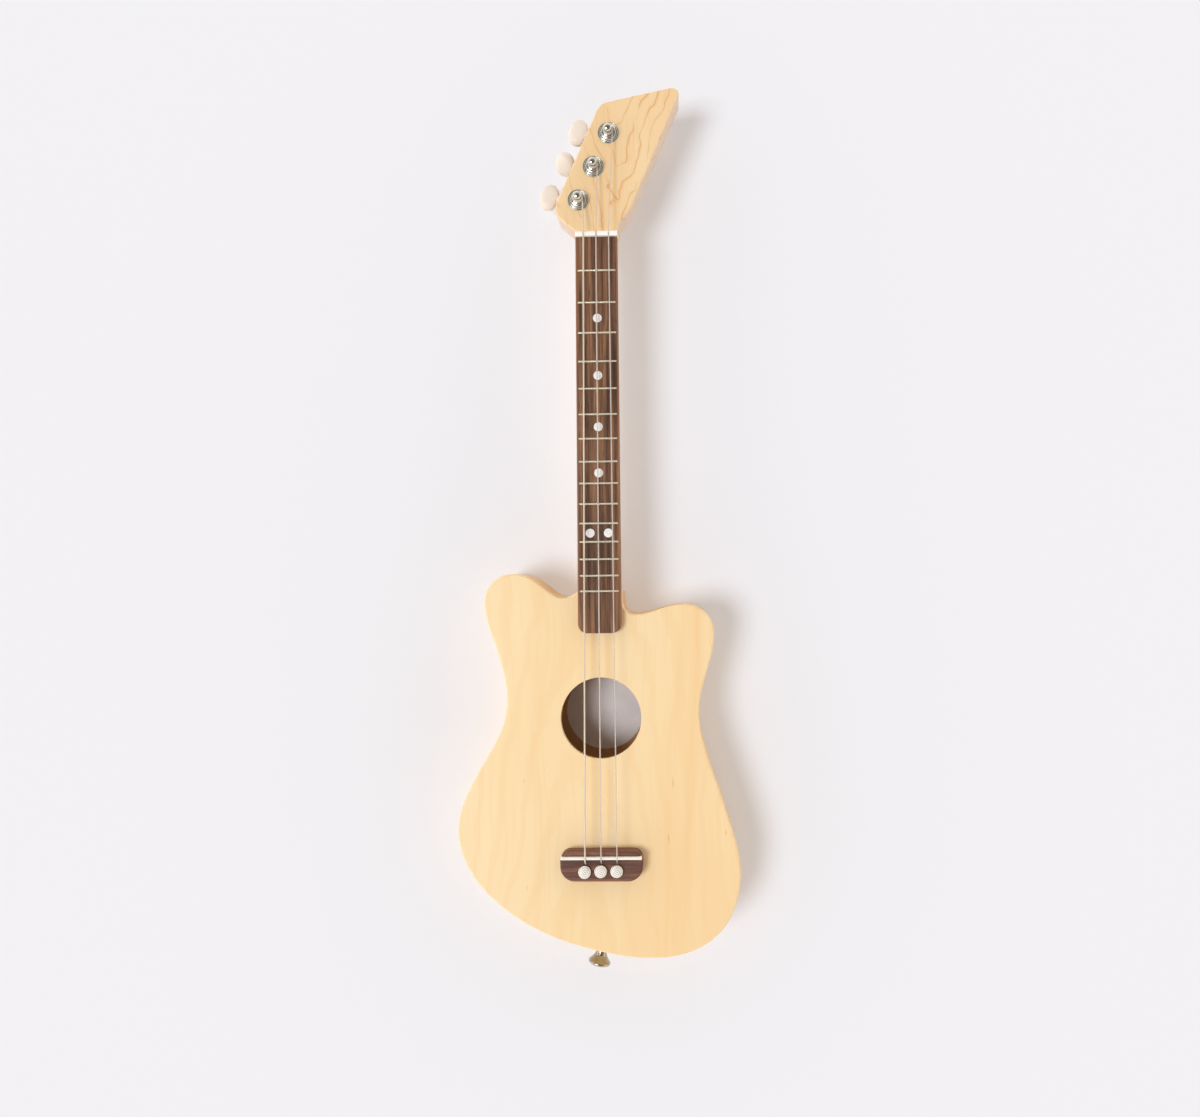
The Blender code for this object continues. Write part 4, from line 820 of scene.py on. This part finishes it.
def pin_plastic():
    """Turned pin: rings from the tool round the head's middle, bumped in, with painted shade in their
    grooves.
    """
    paint = Paint("pin_plastic", 0.38, Specular_IOR_Level=0.5)
    parts = paint.parts(paint.place)
    flat = paint.add("CombineXYZ", {"X": parts["X"], "Y": parts["Y"]}).outputs["Vector"]
    reach = paint.add("VectorMath", {0: flat}, operation="LENGTH").outputs["Value"]
    rings = paint.math("SINE", paint.times(reach, 2.0 * math.pi / PIN_RING_SPACING))
    drift = paint.noise(paint.place, 300.0, 3.0)
    colour = paint.mix(paint.grey(drift, 0.35, 0.7), linear(254, 252, 245), linear(250, 246, 238))
    # Painted shade: the ring grooves turn towards a darker tone.
    paint.colour(paint.toned_and_shaded(colour, (linear(180, 166, 144), rings, 0.10, 0.80, 0.90)))
    paint.rough(drift, 0.32, 0.48)
    paint.bump(paint.times(rings, -1.0), 0.00008, 0.8)
    return paint.mat


def nylon(name, tone, cover):
    """Drawn nylon, which lets part of what lies behind it show."""
    paint = Paint(name, 0.25, Alpha=cover, IOR=1.53)
    drift = paint.grain(paint.place, 900.0, 60.0, 2.0)
    paint.colour(paint.mix(paint.grey(drift, 0.3, 0.7), tone, tuple(c * 0.93 for c in tone)))
    paint.rough(drift, 0.20, 0.35)
    return paint.mat


def paper():
    paint = Paint("label_paper", 0.8, Specular_IOR_Level=0.25)
    fibre = paint.noise(paint.place, 1800.0, 4.0, 0.6)
    cloud = paint.noise(paint.place, 90.0, 2.0)
    paint.colour(paint.mix(paint.grey(cloud, 0.3, 0.7), linear(254, 245, 243), linear(249, 239, 236)))
    paint.rough(fibre, 0.7, 0.9)
    paint.bump(fibre, 0.00002, 0.5)
    return paint.mat


TOP = basswood("basswood_top", linear(253, 228, 184), linear(251, 220, 170), linear(247, 207, 149))
SIDES = basswood("basswood_sides", linear(246, 217, 172), linear(241, 205, 154), linear(232, 190, 134),
                 (0.13, 0.31, 0.02))
# The back's inside tone is painted shade for its inner face.
BACK = basswood("basswood_back", linear(249, 221, 175), linear(245, 209, 156), linear(238, 195, 134),
                (0.37, 0.12, 0.3), inside=linear(206, 152, 98))
# The last tone given to maple is the painted shade of its upright walls.
MAPLE = maple("maple_neck", linear(249, 217, 170), linear(245, 209, 159), linear(224, 158, 88),
              linear(218, 200, 190))
BLOCK = maple("maple_blocks", linear(232, 200, 156), linear(222, 186, 140), linear(205, 150, 96),
              linear(220, 188, 150), (0.2, 0.4, 0.1))
SPRUCE = basswood("spruce_braces", linear(232, 200, 152), linear(222, 184, 132), linear(206, 162, 108),
                  (0.5, 0.2, 0.4), 0.6)
BOARD = walnut("walnut_board", linear(150, 108, 78), linear(114, 79, 56), linear(72, 49, 38), edge=0.0121)
BRIDGE_WOOD = walnut("walnut_bridge", linear(144, 98, 78), linear(110, 74, 60), linear(80, 52, 44),
                     math.radians(90.0), (0.02, 0.05, 0.0))
IVORY = moulded("ivory_plastic", linear(254, 253, 247), linear(252, 250, 243), 0.40)
CREAM = moulded("cream_plastic", linear(240, 229, 216), linear(236, 224, 209), 0.42, 0.15)
DOT = moulded("dot_plastic", linear(248, 247, 244), linear(236, 234, 230), 0.30, 0.0, 700.0)
PIN = pin_plastic()
NICKEL = metal("nickel_plate", (0.66, 0.64, 0.59), (0.52, 0.50, 0.44), 0.12)
FLANGE = metal("flange_nickel", (0.56, 0.55, 0.49), (0.42, 0.41, 0.35), 0.24)
STRAP = metal("strap_nickel", (0.46, 0.42, 0.33), (0.36, 0.32, 0.24), 0.24)
PLATE = metal("tuner_plate_nickel", (0.70, 0.69, 0.66), (0.58, 0.56, 0.53), 0.24, (40.0, 420.0, 420.0))
BRASS = metal("gear_brass", (0.80, 0.62, 0.30), (0.66, 0.48, 0.20), 0.28)
STEEL = metal("screw_steel", (0.60, 0.60, 0.61), (0.46, 0.46, 0.47), 0.30)
FRET = metal("fret_nickel_silver", (0.86, 0.83, 0.68), (0.76, 0.73, 0.58), 0.34, (60.0, 700.0, 700.0))
NYLONS = (nylon("nylon_thick", linear(226, 214, 192), 0.92),
          nylon("nylon_middle", linear(226, 212, 202), 0.60),
          nylon("nylon_thin", linear(226, 212, 202), 0.60))
PAPER = paper()


def cut_pin_hole(obj, index):
    x = string_x(index, SADDLE_Y)
    boolean(obj, rod("pin_cut", PIN_SHANK_RADIUS + 0.0001, (x, PIN_Y, 0.03), (x, PIN_Y, 0.06)))


def make_body():
    outline = smooth_curve([(x * BODY_WIDTH, JOINT_Y - y * BODY_LENGTH) for x, y in BODY_KNOTS], 8)
    underside = FACE_Z - TOP_THICKNESS
    top = stacked("soundboard_top", outline, edge_levels(underside, FACE_Z, EDGE_ROUND), TOP)
    wide = SOUND_HOLE_RADIUS + HOLE_ROUND
    profile = [(SOUND_HOLE_RADIUS, underside - 0.002)]
    profile += [(wide - HOLE_ROUND * c, FACE_Z - HOLE_ROUND * (1.0 - s)) for c, s in arc(math.pi / 2.0, 5)]
    profile.append((wide + 0.0001, FACE_Z + 0.002))
    boolean(top, lathe("sound_hole_cut", profile, sides=160))
    for index in range(3):
        cut_pin_hole(top, index)
    show(crisp(top), "instrument", "basswood", "soundboard")

    back = stacked("body_back", outline, edge_levels(0.0, BACK_THICKNESS, 0.0002, EDGE_ROUND), BACK)
    show(crisp(back), "instrument", "basswood", "back")

    rim = prism("body_rim", outline, BACK_THICKNESS + GLUE_LINE, underside - GLUE_LINE, SIDES)
    boolean(rim, prism("rim_inside", inset(outline, RIM_THICKNESS), -0.01, BODY_DEPTH + 0.01))
    boolean(rim, box("rim_seam", (-0.00005, JOINT_Y - 0.01, -0.01),
                     (0.00005, JOINT_Y + 0.01, BODY_DEPTH + 0.01)))
    show(crisp(rim), "instrument", "basswood", "rim")

    profile = [(0.0, 0.0), (LABEL_RADIUS, 0.0), (LABEL_RADIUS, 0.00022), (0.0, 0.00022)]
    place = Matrix.Translation((0.0, 0.0, BACK_THICKNESS))
    show(lathe("label_disc", soften(profile, 0.0001), PAPER, place, 128), "instrument", "basswood")
    for node in ("neck_block", "tail_block", "bridge_plate"):
        dress(node, BLOCK)
    for node in ("top_brace_upper", "top_brace_lower", "back_brace"):
        dress(node, SPRUCE)
    return outline


def strap_button_place(outline):
    for (x0, y0), (x1, y1) in zip(outline, outline[1:]):
        if y0 < SADDLE_Y and x0 <= STRAP_BUTTON_X < x1:
            break
    along = Vector((x1 - x0, y1 - y0, 0.0)).normalized()
    outward = Vector((along.y, -along.x, 0.0))
    y = y0 + (y1 - y0) * (STRAP_BUTTON_X - x0) / (x1 - x0)
    turn = outward.to_track_quat("Z", "Y").to_matrix().to_4x4()
    return Matrix.Translation((STRAP_BUTTON_X, y, BODY_DEPTH / 2.0)) @ turn


def make_strap_button(outline):
    """A waisted button with a dished head, held by a cross-headed screw."""
    head = STRAP_HEAD_RADIUS
    waist = STRAP_WAIST_RADIUS
    top = STRAP_LENGTH
    screw_seat = (0.0023, top - 0.0009)
    profile = [(0.0, -0.004), (0.0018, -0.004), (0.0018, 0.0001), (STRAP_BASE_RADIUS, 0.0001),
               (STRAP_BASE_RADIUS, 0.0012), (waist + 0.0008, 0.0032), (waist, 0.0062),
               (waist + 0.0005, 0.0088), (head - 0.0012, top - 0.0032), (head, top - 0.0019),
               (head, top - 0.0009), (head - 0.0010, top), (head * 0.47, top),
               (head * 0.40, top - 0.0009), screw_seat]
    screw = [screw_seat, (0.0022, top - 0.0006), (0.0014, top - 0.0003), (0.0, top - 0.0002)]
    profile = soften(profile, 0.0006, 4) + soften(screw, 0.0003, 3)[1:]
    place = strap_button_place(outline)
    button = lathe("strap_button_turned", profile, STRAP, place, 96)
    for turn in (20.0, 110.0):
        cut = box("cross_cut", (-0.0012, -0.00022, top - 0.0009), (0.0012, 0.00022, top + 0.001))
        cut.matrix_world = place @ Matrix.Rotation(math.radians(turn), 4, "Z")
        boolean(button, cut)
    show(crisp(button, 30.0), "instrument", "nickel", "strap_button")


def neck_ring(y, depth, fullness, width=None):
    """A flat-topped, round-backed section of the neck."""
    half = (width or neck_width(y)) / 2.0
    return [(half * signed_power(c, fullness), y, FACE_Z - depth * s ** fullness)
            for c, s in arc(math.pi, 40)]


def make_neck():
    rings = []
    for i in range(25):
        share = i / 24.0
        ease = (1.0 - share) ** 2 * (1.0 + 2.0 * share)
        depth = NECK_DEPTH_AT_HEEL + (HEEL_DEPTH - NECK_DEPTH_AT_HEEL) * ease
        rings.append(neck_ring(JOINT_Y + 0.00002 + HEEL_LENGTH * share, depth, 0.9 - 0.15 * ease))
    swell_y = NUT_Y - NECK_SWELL_BEFORE_NUT
    rings.append(neck_ring(swell_y, NECK_DEPTH_AT_NUT, 0.9))
    for step in range(1, 27):
        share = step / 26.0
        ease = share * share * (3.0 - 2.0 * share)
        depth = NECK_DEPTH_AT_NUT + (HEADSTOCK_THICKNESS - 0.0006 - NECK_DEPTH_AT_NUT) * ease
        fullness = 0.9 - 0.3 * ease ** 14
        rings.append(neck_ring(swell_y + NECK_SWELL_LENGTH * share, depth, fullness, NECK_WIDTH_AT_NUT))
    neck = loft("neck_carved", rings, MAPLE)

    half = NECK_WIDTH_AT_NUT / 2.0
    corners = [(half, NUT_Y - 0.0005, 0.0), (half, NUT_Y + 0.003, 0.003)]
    corners += [(x, NUT_Y + rise, radius) for x, rise, radius in HEAD_CORNERS]
    corners += [(-half, NUT_Y + 0.0046, 0.003), (-half, NUT_Y - 0.0005, 0.0)]
    levels = edge_levels(HEAD_BACK_Z, FACE_Z, HEADSTOCK_EDGE, HEADSTOCK_EDGE)
    blank = stacked("headstock_blank", rounded(corners, 5.0), levels, MAPLE)
    slope = [(NUT_Y - 0.002, FACE_Z - 0.002), (NUT_Y + 0.0075, HEAD_BACK_Z - 0.002),
             (NUT_Y - 0.002, HEAD_BACK_Z - 0.002)]
    boolean(blank, loft("slope_cut", [[(x, y, z) for y, z in slope] for x in (-0.05, 0.05)]))
    boolean(neck, blank, "UNION")
    for index in range(3):
        post = post_place(index)
        boolean(neck, rod("post_cut", SLEEVE_RADIUS + 0.0001, post + Vector((0, 0, HEAD_BACK_Z - 0.005)),
                          post + Vector((0, 0, FACE_Z + 0.005))))
    show(crisp(neck), "instrument", "maple", "neck")


def make_fingerboard():
    nut_half = NECK_WIDTH_AT_NUT / 2.0
    end_half = NECK_WIDTH_AT_END / 2.0
    outline = rounded([(-nut_half, NUT_Y, 0.0), (-end_half, BOARD_END_Y, FINGERBOARD_CORNER),
                       (end_half, BOARD_END_Y, FINGERBOARD_CORNER), (nut_half, NUT_Y, 0.0)], 7.0)
    board = stacked("fingerboard_walnut", outline, edge_levels(ON_FACE, BOARD_TOP, FINGERBOARD_EDGE), BOARD)
    show(crisp(board), "instrument", "walnut", "fingerboard")
    for number in range(1, FRET_COUNT + 1):
        make_fret(number)
    profile = soften([(0.0, -0.001), (DOT_RADIUS, -0.001), (DOT_RADIUS, 0.00005), (0.0, 0.00006)], 0.00004)
    for count, (x, fret) in enumerate(DOT_PLACES):
        y = (fret_y(fret) + fret_y(fret - 1)) / 2.0
        place = Matrix.Translation((x + DOT_SHIFT[0], y + DOT_SHIFT[1], BOARD_TOP))
        show(lathe(f"position_dot_{count + 1}", profile, DOT, place), "instrument", "ivory_plastic")


def make_fret(number):
    """A fret with a round crown, its ends filed back."""
    y = fret_y(number)
    half = neck_width(y) / 2.0 - FRET_INSET
    crown = FRET_WIDTH / 2.0
    section = [(crown * c, FRET_HEIGHT * s ** 0.9) for c, s in arc(math.pi, 14)]
    section = [(crown * 0.96, -0.0003), *section, (-crown * 0.96, -0.0003)]
    end = [(0.00045 * max(0.0, z) / FRET_HEIGHT, s, z * 0.86) for s, z in section]
    run = [(0.0005, s, z) for s, z in section]
    rings = [[(side * (half - back), s, z) for back, s, z in ring]
             for side, ring in ((1, end), (1, run), (-1, run), (-1, end))]
    fret = loft(f"fret_wire_{number:02d}", rings, FRET, 40.0, Matrix.Translation((0.0, y, BOARD_TOP)))
    show(fret, "instrument", "fret_wire", f"fret_{number:02d}")


def make_nut():
    """A nut with a rounded back edge and a round-bottomed slot for each string."""
    half = NECK_WIDTH_AT_NUT / 2.0
    front = NUT_Y + 0.00002
    rear = NUT_Y + SEAT_GAP + NUT_THICKNESS
    top = BOARD_TOP + NUT_RISE
    profile = soften([(front, ON_FACE), (front, top - 0.0001), (front + 0.0005, top),
                      (rear - 0.0011, top - 0.0001), (rear, top - 0.0012), (rear, ON_FACE)], 0.0004, 5)
    stations = [-half, -half + 0.0002]
    slots = []
    for index, radius in enumerate(STRING_RADII):
        x = string_x(index, NUT_Y)
        wide = radius + 0.00007
        slots.append((x, wide, nut_crossing(index).z - radius - 0.00002))
        stations += [x - wide - 0.00001, x - wide + 0.00001]
        stations += [x + wide * s for s in (-0.9, -0.7, -0.4, 0.0, 0.4, 0.7, 0.9)]
        stations += [x + wide - 0.00001, x + wide + 0.00001]
    stations += [half - 0.0002, half]
    rings = []
    for x in sorted(stations):
        ceiling = top
        for centre, wide, floor in slots:
            if abs(x - centre) < wide:
                ceiling = floor + wide - math.sqrt(wide * wide - (x - centre) ** 2)
        lowered = 0.00015 if abs(x) > half - 0.0001 else 0.0
        rings.append([(x, y, min(z, ceiling, top - lowered)) for y, z in profile])
    show(crisp(loft("nut_shaped", rings, IVORY), 40.0), "instrument", "ivory_plastic", "nut")


def make_bridge():
    half = BRIDGE_WIDTH / 2.0
    front = SADDLE_Y + BRIDGE_AHEAD_OF_SADDLE
    rear = front - BRIDGE_LENGTH
    outline = rounded([(-half, rear, BRIDGE_REAR_CORNER), (half, rear, BRIDGE_REAR_CORNER),
                       (half, front, BRIDGE_FRONT_CORNER), (-half, front, BRIDGE_FRONT_CORNER)])
    bridge = stacked("bridge_walnut", outline, edge_levels(ON_FACE, BRIDGE_TOP, BRIDGE_EDGE), BRIDGE_WOOD)
    slot = SADDLE_THICKNESS / 2.0 + 0.00003
    boolean(bridge, box("saddle_cut", (-half - 0.002, SADDLE_Y - slot, BRIDGE_TOP - 0.0035),
                        (half + 0.002, SADDLE_Y + slot, BRIDGE_TOP + 0.002)))
    for index, radius in enumerate(STRING_RADII):
        cut_pin_hole(bridge, index)
        path = string_points(index)[len(KNOT_STEPS):len(KNOT_STEPS) + 10]
        boolean(bridge, swept_tube("string_cut", path, [radius + 0.0001] * len(path)))
        make_pin(index)
    show(crisp(bridge), "instrument", "walnut", "bridge")

    thick = SADDLE_THICKNESS / 2.0
    top = SADDLE_TOP + SEAT_GAP - 0.00003
    section = soften([(thick, BRIDGE_TOP - 0.0034), (thick, top - 0.0007), (thick * 0.35, top),
                      (-thick * 0.35, top), (-thick, top - 0.0007), (-thick, BRIDGE_TOP - 0.0034)], 0.0005, 5)
    reach = half - 0.0006
    ends = ((0.0, 0.0004), (0.0001, 0.00015), (0.0004, 0.0))
    stations = [(back - reach, pull) for back, pull in ends]
    stations += [(reach - back, pull) for back, pull in reversed(ends)]
    rings = [[(x, SADDLE_Y + s * (1.0 - pull * 300.0), min(z, top - pull)) for s, z in section]
             for x, pull in stations]
    show(crisp(loft("saddle_shaped", rings, IVORY), 40.0), "instrument", "ivory_plastic", "saddle")


def make_pin(index):
    """A bridge pin: a domed head and a tapered shank with a groove for the string."""
    x = string_x(index, SADDLE_Y)
    head = PIN_HEAD_RADIUS
    low = -PIN_SHANK_LENGTH
    profile = soften([(0.0, low), (PIN_TIP_RADIUS * 0.7, low), (PIN_TIP_RADIUS, low + 0.0012),
                      (PIN_SHANK_RADIUS, 0.0), (head - 0.0004, 0.0), (head, 0.0005),
                      (head, PIN_HEAD_EDGE)], 0.0004, 4)
    dome = PIN_HEAD_HEIGHT - PIN_HEAD_EDGE
    profile += [(head * c ** 0.9, PIN_HEAD_EDGE + dome * s) for c, s in arc(math.pi / 2.0, 12)[1:]]
    place = Matrix.Translation((x, PIN_Y, BRIDGE_TOP + SEAT_GAP))
    pin = lathe(f"pin_turned_{index + 1}", profile, PIN, place)
    for vertex in pin.data.vertices:
        if vertex.co.z > 0.0 or (vertex.co.z == 0.0 and vertex.co.xy.length > PIN_SHANK_RADIUS + 0.0005):
            vertex.co.xy += Vector(PIN_HEAD_SHIFTS[index])
    groove_y = PIN_Y + STRING_AHEAD_OF_PIN
    boolean(pin, rod("pin_groove", STRING_RADII[index] + 0.0002, (x, groove_y, 0.02),
                     (x, groove_y, BRIDGE_TOP + 0.0001), 24))
    show(crisp(pin), f"pin_{index + 1}", "ivory_plastic", f"bridge_pin_{index + 1}")


def make_strings():
    for index, radius in enumerate(STRING_RADII):
        points = string_points(index)
        radii = [size * KNOT_RADIUS for size in KNOT_SWELL]
        radii += [radius] * (len(points) - len(radii))
        string = swept_tube(f"string_run_{index + 1}", points, radii, NYLONS[index], 20)
        show(string, "instrument", "nylon", f"string_{index + 1}")
        turns = winding_points(index)
        radii = [radius * 0.96] + [radius] * (len(turns) - 1)
        winding = swept_tube(f"string_turns_{index + 1}", turns, radii, NYLONS[index], 20)
        show(winding, f"spindle_{index + 1}", "nylon", f"string_winding_{index + 1}")


def make_button(index):
    """An oval tuner button with nearly flat faces and full round edges, drawn into its boss."""
    profile = [(s ** 0.62, signed_power(c, 0.62) * BUTTON_THICKNESS / 2.0) for c, s in arc(math.pi, 40)]
    section = [(signed_power(c, 0.9) * BUTTON_LENGTH / 2.0, signed_power(s, 0.9) * BUTTON_WIDTH / 2.0)
               for c, s in arc(2.0 * math.pi, 96)[:-1]]
    along, across = BUTTON_SHIFTS[index]
    place = Matrix.Translation(post_place(index)) @ Matrix.Rotation(TUNER_TURN, 4, "Z")
    place = place @ Matrix.Translation((along - BUTTON_REACH, AXLE_OFFSET + across, AXLE_Z))
    place = place @ Matrix.Rotation(math.radians(BUTTON_TURNS[index]), 4, "X")
    button = lathe(f"button_moulded_{index + 1}", profile, CREAM, place, section=section)
    end = BUTTON_LENGTH / 2.0 + BUTTON_BOSS_LENGTH
    profile = soften([(0.0, BUTTON_LENGTH * 0.2), (BUTTON_BOSS_RADIUS + 0.0009, BUTTON_LENGTH * 0.2),
                      (BUTTON_BOSS_RADIUS, BUTTON_LENGTH * 0.47), (BUTTON_BOSS_RADIUS, end), (0.0, end)],
                     0.0006, 4)
    boss = lathe("boss", profile, CREAM, place @ Matrix.Rotation(math.radians(90.0), 4, "Y"), 48)
    boolean(button, boss, "UNION")
    show(crisp(button, 50.0), f"knob_{index + 1}", "cream_plastic", f"tuner_{index + 1}_button")


def make_bushing(index):
    """The bushing's flange: a thin flat edge, fine turned grooves and a low dome up to the post."""
    rim = FACE_Z + SEAT_GAP + FLANGE_HEIGHT
    foot = FACE_Z - SLEEVE_LENGTH
    bore = POST_RADIUS + 0.0001
    steps = ((0.0, 0.0), (0.0, 0.0005), (0.0004, 0.0008), (0.0007, 0.00045), (0.0010, 0.0010),
             (0.0014, 0.0012), (0.0017, 0.0009), (0.0020, 0.0014))
    profile = [(bore, foot), (SLEEVE_RADIUS, foot), (SLEEVE_RADIUS, ON_FACE)]
    profile += [(FLANGE_RADIUS - inward, ON_FACE + rise) for inward, rise in steps]
    profile += [(FLANGE_RADIUS - 0.0025, rim - 0.0002), (POST_COLLAR_RADIUS + 0.0004, rim),
                (bore, rim - 0.0003), (bore, foot)]
    place = Matrix.Translation(post_place(index))
    bushing = lathe(f"bushing_turned_{index + 1}", soften(profile, 0.00016, 4), FLANGE, place, 96)
    show(crisp(bushing, 30.0), "instrument", "nickel", f"tuner_{index + 1}_bushing")


def make_post(index):
    """The string post: journal, collar, waist, ring and ball tip, with its cross hole."""
    waist_high = POST_TOP - 0.0021
    low = waist_high + 0.0006
    profile = [(0.0, 0.0128), (0.0018, 0.0128), (0.0025, 0.0134), (0.0025, 0.0142), (0.0017, 0.0142),
               (0.0017, 0.0188), (POST_RADIUS, 0.0188), (POST_RADIUS, COLLAR_Z),
               (POST_COLLAR_RADIUS, COLLAR_Z), (POST_COLLAR_RADIUS, COLLAR_Z + 0.0003),
               (POST_WAIST_RADIUS, COLLAR_Z + 0.0006), (POST_WAIST_RADIUS, waist_high - 0.0002),
               (POST_RING_RADIUS, waist_high + 0.0003), (POST_RING_RADIUS, low)]
    profile = soften(profile, 0.0002, 4)
    profile += [(POST_TIP_RADIUS * c, low + (POST_TOP - low) * s) for c, s in arc(math.pi / 2.0, 12)[1:]]
    post = lathe(f"post_turned_{index + 1}", profile, NICKEL, Matrix.Translation(post_place(index)))
    end = winding_points(index)[-12:]
    end.append(end[-1] + (end[-1] - end[-2]).normalized() * 0.0004)
    boolean(post, swept_tube("post_hole", end, [STRING_RADII[index] + 0.00015] * len(end), sides=20))
    show(crisp(post, 30.0), f"spindle_{index + 1}", "nickel", f"tuner_{index + 1}_post")


def make_tuners():
    for index in range(3):
        make_bushing(index)
        make_post(index)
        make_button(index)
        for piece, mat in (("plate", PLATE), ("screw", STEEL), ("gear", BRASS), ("worm", NICKEL)):
            dress(f"tuner_{index + 1}_{piece}", mat)


def make_stage():
    """A pale floor that keeps the shadows. Seen straight, part of its tone is its own warm light, a painted
    light that lifts and warms those shadows over a cooler diffuse colour.
    """
    paint = Paint("pale_floor", 0.9, Specular_IOR_Level=0.0)
    cloud = paint.noise(paint.place, 1.6, 2.0)
    seen = paint.add("LightPath", {}).outputs["Is Camera Ray"]
    tone = paint.mix(cloud, linear(242, 240, 243), linear(240, 238, 241))
    paint.colour(paint.mix(seen, tone, paint.mix(cloud, (0.875, 0.885, 0.945), (0.865, 0.875, 0.935))))
    glow = paint.add("Emission", {"Color": (0.96, 0.89, 0.83, 1.0), "Strength": 1.0})
    blend = paint.add("MixShader", {
        0: paint.times(seen, FLOOR_GLOW), 1: paint.shader.outputs["BSDF"], 2: glow.outputs["Emission"]})
    paint.put(paint.tree.nodes["Material Output"].inputs["Surface"], blend.outputs["Shader"])
    box("floor", (-6.0, -6.0, -0.02), (6.0, 6.0, -0.0001), paint.mat)


def make_world():
    """A warm sky, brightest low down."""
    world = bpy.data.worlds.new("soft_room")
    bpy.context.scene.world = world
    world.use_nodes = True
    sky = Shading(world.node_tree)
    background = world.node_tree.nodes["Background"]
    stops = ((0.0, (1.0, 0.94, 0.88)), (0.36, (0.80, 0.75, 0.705)), (0.66, (0.26, 0.243, 0.227)),
             (1.0, (0.10, 0.096, 0.092)))
    sky.put(background.inputs["Color"], sky.ramp(sky.parts(sky.source("Generated"))["Z"], stops))
    sky.put(background.inputs["Strength"], SKY_STRENGTH)


def make_sun(name, towards, width, power, colour):
    """A lamp so far off that it lights every part alike, with a wide face for soft shadows."""
    data = bpy.data.lights.new(name, "SUN")
    data.angle = math.radians(width)
    data.energy = power
    data.color = colour
    lamp = bpy.data.objects.new(name, data)
    bpy.context.scene.collection.objects.link(lamp)
    lamp.location = Vector(towards) * 2.0
    lamp.rotation_euler = Vector(towards).to_track_quat("Z", "Y").to_euler()


def make_camera():
    """A camera above the guitar, with its lens off the picture's centre."""
    data = bpy.data.cameras.new("camera")
    data.sensor_fit = "HORIZONTAL"
    data.sensor_width = SENSOR_WIDTH
    data.lens = FOCAL_LENGTH / PICTURE_WIDTH * SENSOR_WIDTH
    data.shift_x = (PICTURE_CENTRE[0] - OPTICAL_CENTRE[0]) / PICTURE_WIDTH
    data.shift_y = (OPTICAL_CENTRE[1] - PICTURE_CENTRE[1]) / PICTURE_WIDTH
    data.clip_start = 0.01
    data.clip_end = 50.0
    camera = bpy.data.objects.new("camera", data)
    bpy.context.scene.collection.objects.link(camera)
    turn = Matrix.Rotation(-0.0501, 3, "X") @ Matrix.Rotation(0.0264, 3, "Y")
    seen = turn @ Matrix.Rotation(-0.0115, 3, "Z") @ Matrix.Diagonal((1.0, -1.0, -1.0))
    pose = Matrix((seen[0], -seen[1], -seen[2])).transposed().to_4x4()
    pose.translation = (0.04611, NUT_Y - 0.21621, BOARD_TOP + 0.61217)
    camera.matrix_world = pose
    bpy.context.scene.camera = camera


make_camera()
make_strap_button(make_body())
make_neck()
make_fingerboard()
make_nut()
make_bridge()
make_strings()
make_tuners()
make_stage()
make_world()
make_sun("key_light", (-0.52, -0.17, 1.0), 24.0, 1.68, (0.90, 0.95, 0.99))
bpy.context.scene.view_settings.view_transform = "Standard"

bpy.context.view_layer.update()
